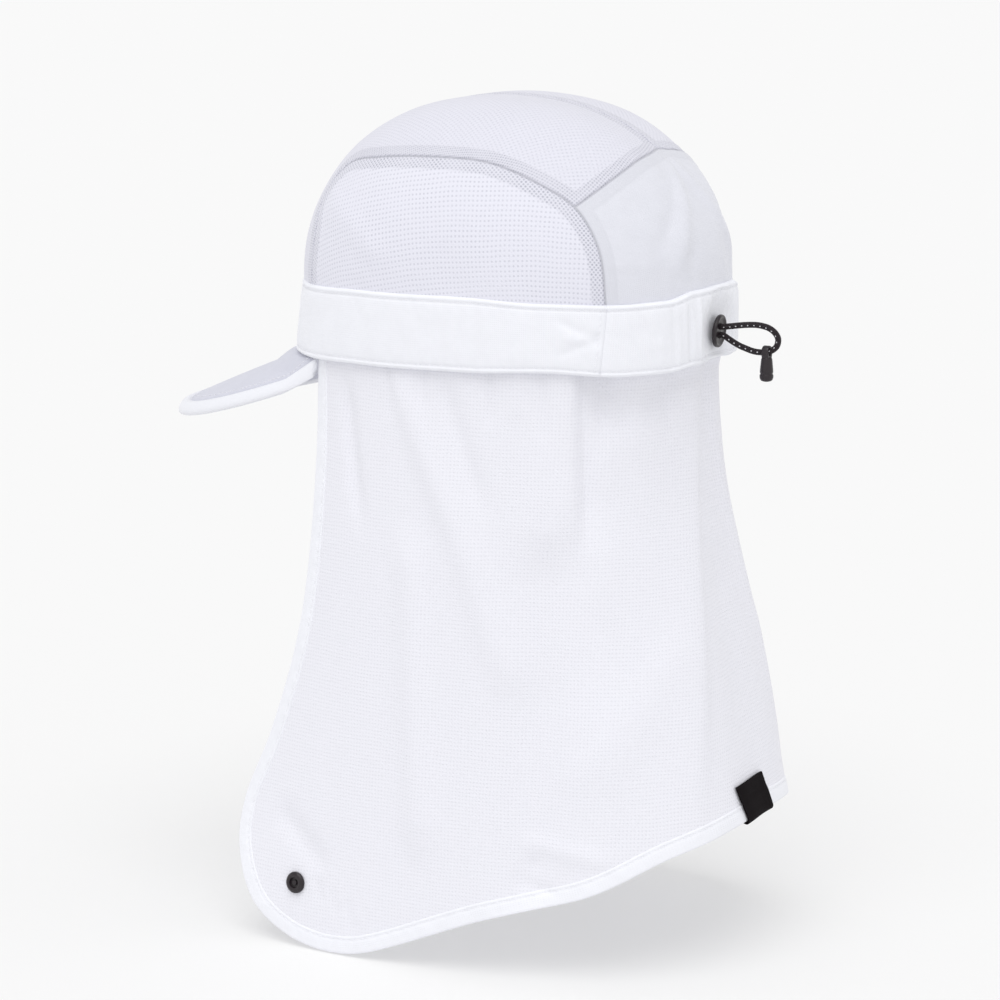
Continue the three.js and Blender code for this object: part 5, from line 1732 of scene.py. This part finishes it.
class CAP_OT_snaps(bpy.types.Operator):
    """Adds the press studs in the cape's front corners"""

    bl_idname = "cap.snaps"
    bl_label = "Snaps"

    def execute(self, context):
        trim = context.scene.cap_trim
        plastic = shared_material("Black Moulded Acetal", moulded_plastic, tuple(trim.plastic))
        for hand, side in (("left", 1), ("right", -1)):
            around, level = np.array(side * SNAP["around"]), np.array(SNAP["level"])
            origin = cape_point(around, level, SNAP["lift"])
            snap = turned(f"press_stud_{hand}", snap_profile(), 40, origin, cape_normal(around, level))
            dress(snap, "black_plastic", plastic, f"snap_{hand}")
        return {"FINISHED"}


class CAP_OT_label(bpy.types.Operator):
    """Adds the blank woven tab over the hem"""

    bl_idname = "cap.label"
    bl_label = "Blank Tab"

    def execute(self, context):
        tape = shared_material("Black Taffeta Tape", label_weave, tuple(context.scene.cap_trim.label))
        dress(label_piece("blank_tab"), "label_weave", tape, "label_tab")
        return {"FINISHED"}


class CAP_OT_stitching(bpy.types.Operator):
    """Adds the topstitching of the band, the visor and the hem"""

    bl_idname = "cap.stitching"
    bl_label = "Stitching"

    def execute(self, context):
        trim = context.scene.cap_trim
        thread = shared_material("Polyester Sewing Thread", spun_thread, tuple(context.scene.cap_cloth.thread))
        for name, slot, lines in (
            ("band_stitches", "woven_cloth", band_stitch_lines()),
            ("visor_stitches", "visor_cloth", visor_stitch_lines()),
            ("hem_stitches", "hem_cloth", hem_stitch_lines()),
        ):
            dress(stitch_rows(name, lines, trim, thread), slot, thread)
        return {"FINISHED"}


class CAP_OT_cape(bpy.types.Operator):
    """Adds the hanging cape with its hem"""

    bl_idname = "cap.cape"
    bl_label = "Cape"

    def execute(self, context):
        cloth = context.scene.cap_cloth
        knit = shared_material(
            "Light Perforated Cape Knit", perforated_knit, tuple(cloth.cape), tuple(cloth.hole), 0.055, 0.055,
            pitch=(1.55, 1.6), hole=0.34)
        hem_cloth = shared_material("Turned Hem Cloth", plain_weave, tuple(cloth.woven))
        cape = dress(cape_piece("cape_cloth"), "cape_knit", knit, "cape")
        hem = dress(hem_piece("hem_cloth_border"), "hem_cloth", hem_cloth, "cape_hem")
        return {"FINISHED"}


class CAP_PT_panel(bpy.types.Panel):
    """Lists the makers of the cap's pieces"""

    bl_idname = "CAP_PT_panel"
    bl_label = "Running Cap"
    bl_space_type = "VIEW_3D"
    bl_region_type = "UI"
    bl_category = "Cap"

    def draw(self, context):
        for operator in OPERATORS:
            self.layout.operator(operator.bl_idname)
        for group in SETTINGS:
            settings = getattr(context.scene, group)
            box = self.layout.box()
            for name in settings.__annotations__:
                box.prop(settings, name)


SETTINGS = {"cap_cloth": CapCloth, "cap_trim": CapTrim, "cap_stage": CapStage}
OPERATORS = (
    CAP_OT_stage, CAP_OT_cord, CAP_OT_crown, CAP_OT_band, CAP_OT_visor, CAP_OT_snaps, CAP_OT_label,
    CAP_OT_stitching, CAP_OT_cape,
)
CLASSES = (*SETTINGS.values(), *OPERATORS, CAP_PT_panel)


def register():
    """Registers the settings, the operators and the panel."""
    for item in CLASSES:
        bpy.utils.register_class(item)
    for name, group in SETTINGS.items():
        setattr(bpy.types.Scene, name, bpy.props.PointerProperty(type=group))


def unregister():
    """Takes everything back out."""
    for name in SETTINGS:
        delattr(bpy.types.Scene, name)
    for item in reversed(CLASSES):
        bpy.utils.unregister_class(item)


def main():
    """Makes the whole cap."""
    register()
    for operator in OPERATORS:
        group, name = operator.bl_idname.split(".")
        getattr(getattr(bpy.ops, group), name)()


if __name__ == "__main__":
    main()
